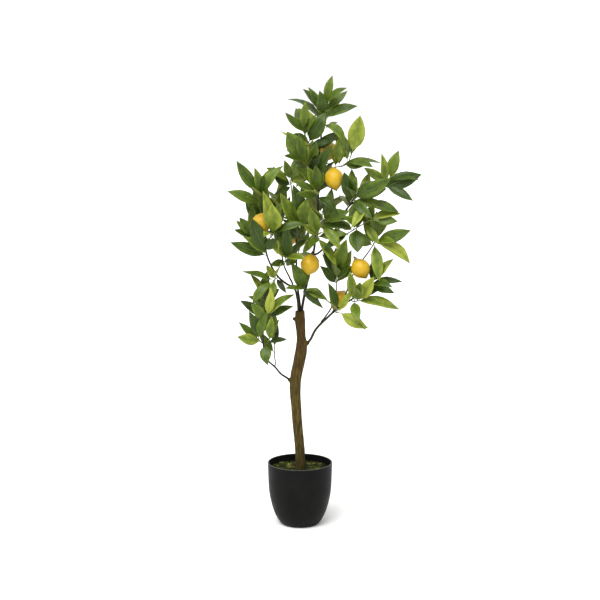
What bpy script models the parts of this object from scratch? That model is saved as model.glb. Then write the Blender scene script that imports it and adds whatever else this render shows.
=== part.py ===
"""Potted lemon tree: a small standard with a bare stick of a trunk, thin dark branches that plug into it,
leafy shoots, lemons on short stalks, and a tall round-bottomed pot with moss on its fill.

Blender 4.5, metres, +Z up. The origin is the middle of the pot's flat base, and the front of the tree is -Y.
Lengths and places below are in centimetres, and CM turns them to metres.
"""

import math

import bmesh
import bpy
from mathutils import Matrix, Vector
from mathutils.bvhtree import BVHTree

CM = 0.01

# Clearance between pieces that touch.
GAP = 0.03

# Pot: a thin moulded shell, (radius, height) up its outer side.
POT_HEIGHT = 16.0
POT_WALL = 0.28
POT_FLOOR = 0.6
POT_SIDE = ((4.5, 0), (5.2, 0.4), (6.1, 1.9), (6.8, 3.5), (7.45, 5.8), (7.9, 8.1), (8.1, 11.1), (8.2, 15.8))
POT_LIP = 0.08
TURNED_STEPS = 36

# Fill and moss.
FILL_TOP = 13.2
MOSS_TOP = 14.3
MOSS_CROWN = 13.95
SOCKET_FLOOR = 4.0

# Trunk: (x, y, height, radius) up its middle, straight where the fill holds it.
TRUNK_SIDES = 12
TRUNK = (
    (0, 0, 4.05, 1.2), (0, 0, 14, 1.2), (0, 0, 18, 1.24), (-0.25, 0, 22, 1.22), (-0.65, 0, 26, 1.24),
    (-0.9, 0, 30, 1.28), (-1.2, 0, 34, 1.36), (-1.2, 0, 36.5, 1.44), (-0.65, 0, 40, 1.46), (0.15, 0, 44, 1.48),
    (0.42, 0, 46.4, 1.4), (0.3, 0, 48.2, 1.16), (0.2, 0, 50.2, 1.16), (0, 0, 52.6, 1.26), (0, 0, 55, 1.14),
)
# Stubs of cut or held side branches: the two ends, and the radius at each.
STUBS = (
    ((0.3, 0, 45.6), (2.1, -0.3, 47.1), 0.8, 0.5),
    ((-1.0, 0, 36.0), (-2.9, -0.6, 37.7), 0.8, 0.48),
    ((0, 0, 52.1), (-1.7, -0.22, 53.2), 0.62, 0.35),
)

# Branches: what each springs from, its radius at both ends, and its middle line.
BRANCH_SIDES = 8
BRANCHES = {
    "leader": ("trunk", 0.36, 0.2, (
        (0.5, -0.1, 53.8), (0.55, -0.1, 55.6), (1.2, -0.2, 59.5), (1.8, -0.4, 62.4), (2.4, -0.6, 65),
        (3.4, -0.8, 70), (3.9, -1, 74), (4.3, -1.2, 78), (4.5, -1.4, 83), (4.6, -1.7, 91), (5, -2, 97.5))),
    "left_main": ("trunk", 0.32, 0.18, (
        (-0.42, -0.3, 53.8), (-0.4, -0.35, 55.6), (-0.7, -0.7, 58.5), (-1.4, -1.2, 60.8), (-3.5, -2.4, 62.3),
        (-5.5, -3.6, 64.3), (-7.1, -4.3, 67), (-8.2, -4.5, 70), (-8.8, -4.3, 75), (-9.2, -4.9, 80.5))),
    "centre_stem": ("trunk", 0.28, 0.16, (
        (0.05, 0.5, 53.8), (0.05, 0.55, 55.6), (-0.6, 1.2, 61), (-0.8, 1.5, 64), (-0.9, 1.2, 70),
        (-1, 0.4, 74), (-1.6, -0.5, 80), (-2, -1, 85))),
    "right_low": ("trunk", 0.34, 0.2, (
        (1.0, -0.12, 46.2), (2.2, -0.3, 47.2), (4, -1, 50.5), (7, -2, 53.8), (8.2, -2.4, 55),
        (10.8, -3.2, 57.2), (12.5, -3.6, 58.3), (16.5, -4.2, 61.5))),
    "left_low": ("trunk", 0.27, 0.16, (
        (-1.85, -0.28, 36.8), (-3, -0.62, 37.8), (-4.8, -1.4, 39.2), (-6.2, -2, 41), (-8.2, -2.8, 43.2),
        (-9.2, -3.6, 48), (-8.9, -4.4, 53), (-9.4, -5, 57))),
    "left_inner": ("left_main", 0.22, 0.15, (
        (-1.4, -1.2, 60.8), (-2.6, -0.5, 63.5), (-4, -0.2, 66.5), (-4.6, 0, 70), (-5, 0.5, 75))),
    "right_upper": ("leader", 0.25, 0.16, (
        (3.2, -0.8, 69), (5.6, -1.6, 70.7), (7.3, -2, 72.5), (8.8, -2.3, 75.8), (12, -3, 81.5),
        (15.6, -3.5, 83.8), (18.5, -3.8, 85))),
    "right_fork": ("right_low", 0.22, 0.15, (
        (4.3, -1.1, 50.9), (6, -0.9, 53.2), (8, -1.2, 56.4), (9.1, -1.2, 60.6))),
    "right_rise": ("right_low", 0.2, 0.15, (
        (10.8, -3.2, 57.2), (11.9, -1.8, 61), (14, -1.2, 66), (16.4, -2.4, 69.4), (17.4, -2.9, 71))),
}

# Lemons: what the stalk springs from, where, the middle of the fruit, and the way its nipple points.
LEMON_SIDES = 10
LEMON_RADIUS = 2.4
LEMON_LENGTH = 5.7
STALK_RADIUS = 0.15
# Outline of a lemon from its nipple to its calyx: share of its length, share of its radius.
LEMON_OUTLINE = (
    (0, 0.07), (0.05, 0.2), (0.12, 0.42), (0.25, 0.8), (0.48, 1.0), (0.72, 0.86), (0.9, 0.48), (0.97, 0.24),
)
LEMONS = {
    "lemon_upper": ("leader", (4.6, -1.7, 92), (8.3, -5.2, 88.5), (0.25, -0.2, -1)),
    "lemon_left": ("left_main", (-9.1, -4.7, 79), (-9.4, -7.8, 77.8), (-0.4, -0.5, -0.8)),
    "lemon_centre": ("leader", (3.4, -0.8, 70.3), (2.4, -5.4, 67.4), (-0.15, -0.6, -0.8)),
    "lemon_right": ("right_rise", (15.1, -1.7, 67.7), (14.9, -5.6, 66.4), (0.5, -0.3, -0.8)),
    "lemon_low": ("right_low", (7.8, -2.3, 54.6), (9.9, 1.7, 57.5), (0.5, 0.35, 0.8)),
    "lemon_top": ("leader", (4.8, -1.8, 95.5), (6.9, 1.9, 94.8), (0.1, 0.6, -0.8)),
    "lemon_back": ("centre_stem", (-0.9, 0.7, 73), (-2.4, 5, 73.4), (-0.2, 0.4, -1)),
}

# Leafy shoots: what each springs from, the middle line of its twig, and its leaves up the twig. A leaf is the
# place of its tip, then how wide it shows from the front, then how far it arches as a share of its length.
TWIG_SIDES = 5
TWIG_RADII = (0.16, 0.11)
FIRST_LEAF = 0.4
# Short leaves that fill each shoot but the loose ones: how many, how long, how far they lean from the twig,
# and how much they rise.
FILLERS = 3
LOOSE_SHOOTS = ("shoot_low_left", "shoot_left_out", "shoot_left_under")
FILLER_LENGTH = 8
FILLER_LEAN = math.radians(58)
FILLER_RISE = 0.3
GOLDEN_ANGLE = math.radians(137.5)
SHOOTS = {
    "shoot_tip": ("leader", ((5, -2, 97.5), (5.5, -2.4, 102), (6.3, -2.8, 106.5)), (
        (11.3, -6, 96, 2.0, 0.3), (-2.7, -3.4, 108, 1.8, 0.14), (13.8, -4, 106.1, 2.0), (5, -5, 109.5, 3),
        (11.5, -2, 109.4, 1.6), (2.2, -3.6, 110.6, 1.6, -0.12), (7.8, -3, 113.2, 1.7))),
    "shoot_top_left": ("leader", ((4.6, -1.7, 91.6), (2.6, -2.8, 96), (0.6, -3.6, 100.3)), (
        (9.6, -4.6, 99.8, 2.6), (7.6, -5, 97.6, 2), (6, -5.6, 104.5, 4), (-1.6, -4, 99.2, 1.5),
        (1.3, -2.4, 104.2, 2.4), (-3.6, -4, 104.2, 1.4), (0.6, -5, 107.3, 2.2))),
    "shoot_upper_left": ("leader", ((4.5, -1.5, 87), (2.4, -3, 89.6), (0.8, -4, 92.8)), (
        (7.6, -6.6, 96.6, 3), (5, -6.5, 94, 2.4), (4, -7, 97.4, 2.6), (-1.4, -2, 92.6, 1.4),
        (-0.4, -5.6, 99.2, 2.6), (2.4, -2.6, 99, 2.2), (-3.1, -5.6, 99.8, 4.4))),
    "shoot_top_right": ("leader", (
        (4.6, -1.7, 89.6), (8.4, -2.6, 91), (11.3, -3.2, 91.8), (12.7, -3.6, 94.6)), (
        (9.6, -5.6, 98.6, 2.2), (20, -3, 92.2, 1.6, 0.1), (16.2, -5.2, 92, 2.2), (10.8, 0.5, 98.6, 2),
        (9.4, -2.6, 95.4, 1.8), (14.8, -5, 103.6, 4.2))),
    "shoot_mid_front": ("leader", ((4.5, -1.4, 81.8), (4.3, -3.2, 84), (4.2, -4.6, 86)), (
        (9.4, -6.8, 79.8, 2, 0.26), (-0.8, -6.6, 85, 2), (-1.5, -5, 87.8, 2), (1.8, -6.4, 91.4, 2.6),
        (5.6, -2.6, 92, 1.8), (3.6, -8, 92, 2.6), (6.4, -5.4, 90, 1.6))),
    "shoot_mid_right": ("leader", ((4.2, -1.1, 76.4), (5, -3, 77.4), (5.8, -4.6, 78.6)), (
        (12.6, -4.6, 76.2, 2, 0.1), (9.8, -7.6, 71.4, 2), (11.9, -6.4, 80.6, 3), (9.2, -2.6, 82.4, 1.6),
        (6.3, -5.8, 83.8, 1.8))),
    "shoot_low_front": ("leader", ((3.8, -1, 73), (4.2, -3.2, 73.8), (4.4, -5, 74.6)), (
        (0.6, -5.4, 70, 1.8), (8.8, -6, 66.8, 1.6), (10.6, -6.6, 76, 2.4), (0.6, -7.6, 77.6, 2),
        (2.6, -8, 81.6, 3))),
    "shoot_centre": ("centre_stem", ((-0.95, 0.9, 71), (-0.2, -1.8, 74), (0.6, -3.2, 76)), (
        (-5.4, -4, 76.2, 2.2), (-4, -6, 78.6, 1.8), (4, -4.6, 81.4, 2), (-5, -6.4, 84.9, 2.8),
        (-1.8, -5.4, 87, 2), (1.6, -6, 83.6, 3.6))),
    "shoot_centre_top": ("centre_stem", ((-2, -1, 85), (-2.2, -1.6, 86.6), (-2.5, -2.2, 88)), (
        (-6.4, -4.4, 84.4, 1.4), (-6.6, -3.6, 88.8, 2.6), (2.4, -3, 90, 2.4), (1.8, 1, 92, 2),
        (-3.7, -3, 92.8, 2))),
    "shoot_inner_low": ("left_inner", ((-4, -0.2, 66.5), (-3.6, -2.6, 68), (-3.4, -4.2, 69.6)), (
        (-0.9, -5.4, 68, 2.8), (-7.4, -5, 67, 2), (-1.9, -6, 74, 3), (-5.4, -6.4, 74.4, 2.6),
        (-6, -5.4, 79.6, 2), (-3.4, -7, 77.6, 2))),
    "shoot_inner_top": ("left_inner", ((-5, 0.5, 75), (-5.1, 0.2, 77), (-5.4, -0.6, 80)), (
        (-3.6, -4, 80.4, 1.6), (-9, 0.5, 82, 2), (-2.6, 1, 83.5, 1.8), (-8.4, -3, 84, 2.2),
        (-3.4, -3, 87.4, 2.2), (-5, 3, 87, 2))),
    "shoot_left_tip": ("left_main", ((-9.2, -4.9, 80.5), (-9.6, -6, 83), (-10, -7, 85)), (
        (-17.4, -8, 85.7, 2.6), (-12.8, -10, 84.6, 1.2), (-8.2, -9, 89.8, 3.4), (-4.5, -7, 91.9, 2.2),
        (-10.9, -9, 91.4, 1.6), (-15.4, -8, 92.8, 2.4))),
    "shoot_left_front": ("left_main", ((-8.6, -4.4, 73.2), (-7, -6.6, 74.4), (-6.2, -8, 75.6)), (
        (-3.6, -8.6, 78.8, 1.4), (-5.2, -9.6, 70.4, 2), (-4.2, -8, 83, 1.8), (-10.6, -10, 86, 2.4),
        (-7.6, -11, 83, 4.2))),
    "shoot_left_out": ("left_main", ((-8.4, -4.5, 71.6), (-10.2, -6, 73), (-11.6, -7, 74.2)), (
        (-13.6, -8.6, 74.4, 1.5), (-16, -9, 76.3, 1.3), (-15.5, -7.4, 78.4, 1.6), (-12, -4, 82, 2.2),
        (-13, -9, 80.3, 2.6))),
    "shoot_left_under": ("left_main", ((-7.7, -4.4, 68.6), (-8.2, -6.6, 70), (-8.4, -8, 71.2)), (
        (-16.9, -7.4, 73, 3), (-13.4, -9.6, 74.8, 2), (-12, -12, 79.6, 3.8), (-5.6, -10.4, 74.4, 2.4))),
    "shoot_left_back": ("left_main", ((-8.7, -4.3, 74), (-9.5, -2.2, 76), (-9.8, -0.6, 78)), (
        (-13.6, 1.5, 75, 2), (-13.5, 0.5, 82), (-6.6, 2.6, 82), (-5.4, 3.4, 76.6), (-11.2, 1, 86),
        (-8.6, 1.6, 87))),
    "shoot_hanging": ("left_main", ((-5.3, -3.5, 64.1), (-6, -5, 63.9), (-6.6, -6, 63.4)), (
        (-3.4, -7, 60.6, 1.4), (-8.4, -7.6, 67.6, 1.8), (-6.8, -9, 59.6, 2), (-11.8, -7, 57.6, 1.8, 0.25))),
    "shoot_low_left_top": ("left_low", ((-9.4, -5, 57), (-9.3, -5.3, 58.4), (-9, -5.6, 59.8)), (
        (-12.8, -6.4, 59.6, 1.2), (-5.2, -7, 61.4, 3, 0.12), (-8, -2.4, 65.4, 2), (-12.2, -6, 65, 1.3))),
    "shoot_low_left_mid": ("left_low", ((-8.9, -4.3, 52.4), (-8.3, -6, 53.6), (-8, -7, 55)), (
        (-14.7, -6, 58.6, 1.5), (-1.8, -6.4, 57.4, 1.2), (-12, -8.4, 58.2, 2.5),
        (-1.4, -7.4, 60.4, 1.6, 0.16), (-7.6, -9, 62.4, 2.2))),
    "shoot_low_left_out": ("left_low", ((-9.1, -3.5, 47.3), (-9.9, -4.8, 48.2), (-10.3, -5.6, 49)), (
        (-15.4, -6.4, 49.6, 2.8), (-15.1, -4.6, 53, 1.8), (-12.4, -7, 56, 2), (-9.6, -6.6, 56.6, 2.5))),
    "shoot_low_left_under": ("left_low", ((-9, -3.4, 46.4), (-8.2, -4.8, 47.6), (-7.6, -5.8, 48.8)), (
        (-8.4, -7.6, 43, 3), (-3.2, -6, 48.8, 1.2), (-5.2, -6.6, 54, 1.4), (-7.6, -8, 55.4, 2))),
    "shoot_low_left_inner": ("left_low", ((-6.2, -2, 41), (-6.4, -1.2, 44), (-6.4, -0.6, 49)), (
        (-10.4, 1.4, 49.6), (-5.6, 2.4, 51), (-9.4, 2.4, 55), (-8, -1.4, 56.6))),
    "shoot_low_left_back": ("left_low", ((-9, -4, 50.6), (-9.8, -2, 52.4), (-10.2, -0.8, 54)), (
        (-12, 3, 53.4), (-7, 3.4, 55.6), (-10.8, 2.6, 57.8), (-8.6, 0.8, 61))),
    "shoot_right_tip": ("right_upper", ((18.5, -3.8, 85), (20.4, -4.2, 86.2), (22, -4.4, 88.2)), (
        (29.4, -5.6, 89.5, 4), (27.3, -7, 83.2, 1.8), (15.7, -4, 91, 2.2), (23.9, -5, 95.2, 2.9))),
    "shoot_right_upper": ("right_upper", ((12, -3, 81.5), (12.7, -4.4, 83), (13.4, -5.2, 84.4)), (
        (9.8, -7, 90.4, 3.4), (20.6, -4, 80.8, 2), (13.8, -5.4, 88.9, 1.2), (17.6, -9, 79, 2.4),
        (21, -6, 86, 2.6), (22, -8, 88.6, 3.6), (18.4, -6.4, 88, 3))),
    "shoot_right_under": ("right_upper", ((14.4, -3.3, 83), (15.3, -4.8, 82.5), (16.4, -5.6, 82.2)), (
        (13.8, -7, 76.6, 2.8), (24, -7.4, 82, 2.2), (11.4, -7.6, 81, 3.4))),
    "shoot_right_mid": ("right_upper", (
        (7.3, -2, 72.5), (11.5, -3.8, 74.8), (14.6, -4.6, 76.8), (17.8, -5, 78.6)), (
        (5.4, -6.6, 71.6, 2), (9.6, -3, 78, 2), (14, -7.4, 70.6, 4), (10.6, -7.6, 80, 2.4),
        (19.2, -7, 72.4, 2.2), (15.4, -6.6, 84, 2.2), (23.8, -6, 78.2, 2.6))),
    "shoot_right_rise": ("right_rise", ((17.4, -2.9, 71), (18, -3.4, 72), (18.6, -3.8, 73.2)), (
        (12.8, -4.2, 74.6, 3), (15, -6.4, 78, 2.4), (19.2, -7, 63.4, 2.6), (27.2, -4, 67.6, 2.2, 0.15),
        (27, -5, 75.9, 3.2), (18.4, -5.8, 80, 3.6))),
    "shoot_right_low_tip": ("right_low", ((16.5, -4.2, 61.5), (17.1, -4.4, 62.1), (17.8, -4.7, 62.9)), (
        (25.2, -4, 62.8, 1.2, 0.08), (23.1, -7, 60.8, 2.2), (18, -3.4, 70, 2.4), (19.4, -5.6, 69, 2.2))),
    "shoot_right_low_under": ("right_low", ((12.5, -3.6, 58.3), (13.4, -5.2, 58.2), (14.4, -6, 58.5)), (
        (20.4, -5, 64.6, 1.4), (12.2, -6.4, 65.8, 2.4), (24.2, -8, 56.2, 2.2, 0.14), (14.6, -9.6, 64, 2.8),
        (18, -9.8, 65, 3.2))),
    "shoot_right_low_front": ("right_low", ((8.6, -2.5, 55.3), (9.2, -4, 55.2), (9.9, -5.4, 55.4)), (
        (7.2, -5, 62.8, 1.4), (16.6, -7, 51.8, 2.9, 0.2))),
    "shoot_right_fork": ("right_fork", ((9.1, -1.2, 60.7), (9.1, -1.5, 62.2), (9, -2.2, 64)), (
        (5.3, -3.4, 66.8, 2.4), (12.6, 2.6, 67), (12.6, -2.4, 70.6, 2.8), (5.8, -2, 71.8, 2),
        (8.8, -4.6, 71.6, 2.6), (12.4, -5.6, 67.4, 2.6), (10, -5.4, 74.6, 3.6))),
    "shoot_trunk_top": ("leader", ((1.1, -0.2, 59), (0.9, -2.6, 60.4), (1.2, -4.2, 61.4)), (
        (5.4, -6, 56.6, 2.2, 0.26), (-0.8, -6.8, 68.2, 3.4), (6.8, -6.4, 58.8, 1.8, 0.2))),
    "shoot_back_top": ("leader", ((4.9, -1.9, 95.6), (5.3, 0.6, 98.6), (5.2, 2.2, 100.4)), (
        (10.6, 5.4, 97), (0.6, 5, 103), (9.2, 6, 104.6), (4.6, 5, 108))),
    "shoot_back_upper": ("leader", ((4.5, -1.4, 85), (4.4, 2.6, 86), (4.2, 5.4, 87.6)), (
        (0, 10, 84), (9.4, 10, 84.6), (-1.4, 8.6, 92), (9, 9, 92), (4, 12, 91), (4, 8, 96))),
    "shoot_back_mid": ("leader", ((4.1, -1.1, 75.8), (4.6, 3, 77), (5, 6, 79)), (
        (10, 10, 75), (1, 11, 77), (11.4, 9, 83), (1, 8.6, 85), (6, 13, 82))),
    "shoot_back_low": ("centre_stem", ((-0.88, 1.2, 68), (-0.3, 4.4, 69.4), (0.4, 7, 71.4)), (
        (5, 9.4, 66), (-5, 10.6, 68), (5.6, 10, 76), (-4.4, 10, 76.6), (0.6, 14.4, 73.4))),
    "shoot_back_right": ("right_upper", ((10, -2.6, 78), (11.6, 1.2, 80), (12.6, 4, 82)), (
        (17.6, 7, 79), (9.6, 8, 78.6), (18.4, 6.6, 86.4), (12, 7, 88), (14.4, 12, 85))),
    "shoot_back_left": ("left_inner", ((-4.7, 0.2, 72), (-5.6, 3.4, 73.6), (-6.4, 6, 75.6)), (
        (-12, 8, 73.4), (-2.6, 9.6, 74), (-11.4, 9.6, 81), (-4.6, 8.6, 82.6), (-7.4, 13.6, 78.4))),
    "shoot_back_column": ("leader", ((4.6, -1.6, 88.4), (3.8, 1.4, 89.6), (3, 4, 91)), (
        (0.8, 7.4, 86), (7.6, 7.4, 87.6), (0.4, 7, 96.4), (5, 9.6, 96), (3, 12, 92))),
}

# Leaf: shares of its length, then of its width, from the petiole to the tip.
LEAF_OUTLINE = ((0, 0), (0.11, 0), (0.42, 1), (0.76, 0.68))
LEAF_SLIM = 0.31
LEAF_THICK = 0.12
LEAF_FOLD = 0.16
LEAF_ARCH = 0.05
PETIOLE = 0.075
# Tips further back than this turn their leaves' upper side to the back.
BACK_FROM = 1.0
PLAIN_TURN = 0.6

# How a leaf gives way to what is in its way: angles in degrees, ways round, and shares of its length.
SWERVES = (0, 8, 15, 23, 32, 42, 54)
WAYS_ROUND = 6
LENGTHS = (1, 0.85, 0.7)
ROOM = 0.05

COLOURS = {
    "pot": ((0.018, 0.018, 0.017), 0.55),
    "soil": ((0.05, 0.035, 0.022), 0.95),
    "moss": ((0.1, 0.14, 0.035), 0.95),
    "bark": ((0.11, 0.06, 0.022), 0.85),
    "stem": ((0.03, 0.03, 0.012), 0.6),
    "leaf": ((0.07, 0.15, 0.02), 0.45),
    "lemon": ((0.76, 0.45, 0.03), 0.4),
}


def material(kind):
    """The Principled material of one kind of piece, made once."""
    found = bpy.data.materials.get(kind)
    if found:
        return found
    made = bpy.data.materials.new(kind)
    made.use_nodes = True
    shader = made.node_tree.nodes["Principled BSDF"]
    colour, roughness = COLOURS[kind]
    shader.inputs["Base Color"].default_value = (*colour, 1)
    shader.inputs["Roughness"].default_value = roughness
    shader.inputs["Metallic"].default_value = 0
    return made


def lofted(sections, tip=None):
    """A closed bmesh through sections of equally many points: one face extruded from each to the next."""
    mesh = bmesh.new()
    face = mesh.faces.new([mesh.verts.new(point) for point in sections[0]])
    for section in sections[1:]:
        face = bmesh.ops.extrude_discrete_faces(mesh, faces=[face])["faces"][0]
        for vert, point in zip(face.verts, section):
            vert.co = point
    if tip is not None:
        face = bmesh.ops.extrude_discrete_faces(mesh, faces=[face])["faces"][0]
        bmesh.ops.pointmerge(mesh, verts=face.verts, merge_co=tip)
    open_edges = [edge for edge in mesh.edges if edge.is_boundary]
    bmesh.ops.holes_fill(mesh, edges=open_edges)
    bmesh.ops.triangulate(mesh, faces=mesh.faces)
    bmesh.ops.recalc_face_normals(mesh, faces=mesh.faces)
    return mesh


def tube(points, radii, sides):
    """A closed round bar along a line of points, with a radius at each."""
    points = [Vector(point) for point in points]
    sections = []
    across = None
    for i, (point, radius) in enumerate(zip(points, radii)):
        run = (points[min(i + 1, len(points) - 1)] - points[max(i - 1, 0)]).normalized()
        across = run.orthogonal() if across is None else across - run * across.dot(run)
        across.normalize()
        other = run.cross(across)
        turns = [2 * math.pi * k / sides for k in range(sides)]
        sections.append([point + radius * (across * math.cos(a) + other * math.sin(a)) for a in turns])
    return lofted(sections)


def tapered(first, last, count):
    return [first + (last - first) * i / (count - 1) for i in range(count)]


def finished(name, mesh, kind):
    """The bmesh as one object in metres, smooth but for its sharp edges."""
    bmesh.ops.scale(mesh, vec=(CM, CM, CM), verts=mesh.verts)
    data = bpy.data.meshes.new(name)
    mesh.to_mesh(data)
    mesh.free()
    data.materials.append(material(kind))
    data.shade_smooth()
    data.set_sharp_from_angle(angle=math.radians(40))
    made = bpy.data.objects.new(name, data)
    bpy.context.scene.collection.objects.link(made)
    return made


def combined(target, others, operation):
    """Adds the other objects to the target, or cuts them from it, and removes them."""
    helpers = bpy.data.collections.new("helpers")
    bpy.context.scene.collection.children.link(helpers)
    for other in others:
        helpers.objects.link(other)
    change = target.modifiers.new("Boolean", "BOOLEAN")
    change.operation = operation
    change.solver = "EXACT"
    change.operand_type = "COLLECTION"
    change.collection = helpers
    graph = bpy.context.evaluated_depsgraph_get()
    shaped = bpy.data.meshes.new_from_object(target.evaluated_get(graph))
    target.modifiers.remove(change)
    target.data = shaped
    for other in others:
        bpy.data.objects.remove(other)
    bpy.data.collections.remove(helpers)


def turned(name, profile, kind):
    """A turned solid, from (radius, height) points that start and end on the axis or close on themselves."""
    mesh = bmesh.new()
    ring = [mesh.verts.new((radius, 0, height)) for radius, height in profile]
    edges = [mesh.edges.new(pair) for pair in zip(ring, ring[1:])]
    if profile[0][0] > 0:
        edges.append(mesh.edges.new((ring[-1], ring[0])))
    bmesh.ops.spin(
        mesh, geom=ring + edges, axis=(0, 0, 1), cent=(0, 0, 0), angle=2 * math.pi, steps=TURNED_STEPS,
    )
    bmesh.ops.remove_doubles(mesh, verts=mesh.verts, dist=0.001)
    bmesh.ops.dissolve_degenerate(mesh, edges=mesh.edges, dist=0.001)
    bmesh.ops.recalc_face_normals(mesh, faces=mesh.faces)
    return finished(name, mesh, kind)


def pot_radius(height):
    """Outer radius of the pot at a height."""
    for (low_r, low_z), (high_r, high_z) in zip(POT_SIDE, POT_SIDE[1:]):
        if height <= high_z:
            return low_r + (high_r - low_r) * (height - low_z) / (high_z - low_z)
    return POT_SIDE[-1][0]


def pot():
    outer_lip, inner_lip = POT_SIDE[-1][0] - POT_LIP, POT_SIDE[-1][0] - POT_WALL + POT_LIP
    inside = [(radius - POT_WALL, height) for radius, height in POT_SIDE if height > POT_FLOOR]
    floor = pot_radius(POT_FLOOR) - POT_WALL
    profile = [(0, 0), *POT_SIDE, (outer_lip, POT_HEIGHT), (inner_lip, POT_HEIGHT), *reversed(inside)]
    return turned("pot", [*profile, (floor, POT_FLOOR), (0, POT_FLOOR)], "pot")


def soil():
    bottom = POT_FLOOR + GAP
    socket = TRUNK[0][3] + GAP
    heights = [bottom, *[height for _, height in POT_SIDE if bottom < height < FILL_TOP], FILL_TOP]
    side = [(pot_radius(height) - POT_WALL - GAP, height) for height in heights]
    middle = [(socket, FILL_TOP), (socket, SOCKET_FLOOR), (0, SOCKET_FLOOR)]
    return turned("soil", [(0, bottom), *side, *middle], "soil")


def moss():
    """A flat cushion that is a little higher part of the way out than at the trunk and the wall."""
    bottom = FILL_TOP + GAP
    hole = TRUNK[0][3] + 2 * GAP
    edge = pot_radius(FILL_TOP) - POT_WALL - 2 * GAP
    base = [(hole, bottom), (edge, bottom)]
    top = [(edge, MOSS_CROWN), (edge - 1.6, MOSS_TOP), (hole + 1.2, MOSS_TOP), (hole, MOSS_CROWN)]
    return turned("moss", [*base, *top], "moss")


def placed_line(line, radius, parent):
    """The line, started clear of its parent's surface, where the parent is a (line, radii) pair."""
    start, after = Vector(line[0]), Vector(line[1])
    nearest = None
    parent_points = [Vector(point) for point in parent[0]]
    for i, (low, high) in enumerate(zip(parent_points, parent_points[1:])):
        run = high - low
        share = min(max((start - low).dot(run) / run.length_squared, 0), 1)
        point = low + run * share
        if nearest is None or (start - point).length < nearest[0]:
            wide = parent[1][i] + (parent[1][i + 1] - parent[1][i]) * share
            at_end = i == len(parent_points) - 2 and share > 0.99
            nearest = ((start - point).length, point, run.normalized(), wide, at_end)
    _, point, run, wide, at_end = nearest
    way = (after - point).normalized()
    slant = max(way.cross(run).length, 0.3)
    if at_end:
        clear = GAP + radius * slant
    else:
        clear = (wide + GAP + radius * abs(way.dot(run))) / slant
    return [point + way * clear, *[Vector(place) for place in line[1:]]]


def leaf(base, tip, seen, arch, room=0.0):
    """A folded, arched blade on a short petiole. `room` thickens it all round."""
    along = tip - base
    length = along.length
    run = along.normalized()
    width = max(seen or 0, LEAF_SLIM * length)
    turn = min(seen / width, 0.97) if seen else PLAIN_TURN
    front = Vector((0, -1 if (base.y + tip.y) / 2 < BACK_FROM else 1, 0))
    upper = turn * (front - run * front.y * run.y)
    upper += math.sqrt(1 - turn * turn) * (Vector((0, 0, 1)) - run * run.z)
    upper = (upper - run * upper.dot(run)).normalized()
    side = run.cross(upper)
    sections = []
    for share, fullness in LEAF_OUTLINE:
        middle = base + along * share + upper * (arch * length * 4 * share * (1 - share))
        half = max(width / 2 * fullness, PETIOLE) + room
        deep = (LEAF_THICK / 2 if fullness else PETIOLE) + room
        lift = upper * (LEAF_FOLD * width / 2 * fullness)
        sections.append([middle + side * half + lift, middle + upper * deep,
                         middle - side * half + lift, middle - upper * deep])
    return lofted(sections, tip + run * room)


def swerved(base, tip):
    """Places for a leaf's tip, from the chosen one to ones further and further away."""
    along = tip - base
    across = along.orthogonal()
    for share in LENGTHS:
        for angle in SWERVES:
            for way in range(WAYS_ROUND if angle else 1):
                axis = Matrix.Rotation(2 * math.pi * way / WAYS_ROUND, 3, along) @ across
                yield base + Matrix.Rotation(math.radians(angle), 3, axis) @ along * share


def point_along(line, share):
    """The point at a share of the length of a line of points."""
    runs = [(high - low).length for low, high in zip(line, line[1:])]
    left = share * sum(runs)
    for low, high, run in zip(line, line[1:], runs):
        if left <= run:
            return low.lerp(high, left / run)
        left -= run
    return line[-1].copy()


def blocked(mesh, others):
    tree = BVHTree.FromBMesh(mesh)
    return any(tree.overlap(other) for other in others)


def chosen_leaves(line, leaves):
    """Each leaf of a shoot's list as its base, tip, shown width and arch."""
    for i, (x, y, z, *shape) in enumerate(leaves):
        seen = shape[0] if shape else None
        arch = shape[1] if len(shape) > 1 else LEAF_ARCH
        base = point_along(line, FIRST_LEAF + (1 - FIRST_LEAF) * i / (len(leaves) - 1))
        yield base, Vector((x, y, z)), seen, arch


def filling_leaves(line, number, count):
    """Short leaves that stand round the twig of shoot `number`, a golden angle apart."""
    run = (line[-1] - line[0]).normalized()
    for i in range(count):
        base = point_along(line, FIRST_LEAF + (1 - FIRST_LEAF) * (i + 0.5) / count)
        around = Matrix.Rotation(GOLDEN_ANGLE * (number + i), 3, run) @ run.orthogonal().normalized()
        way = run * math.cos(FILLER_LEAN) + around * math.sin(FILLER_LEAN) + Vector((0, 0, FILLER_RISE))
        yield base, base + way.normalized() * FILLER_LENGTH, None, LEAF_ARCH


def grown(wanted, others):
    """The bmeshes of the wanted leaves, each turned aside as little as clears the other pieces."""
    blades = []
    for base, chosen, seen, arch in wanted:
        for tip in swerved(base, chosen):
            roomy = leaf(base, tip, seen, arch, ROOM)
            free = not blocked(roomy, others)
            roomy.free()
            if free:
                blades.append(leaf(base, tip, seen, arch))
                break
    return blades


def cleared_scene():
    for thing in list(bpy.data.objects):
        bpy.data.objects.remove(thing)


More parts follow.
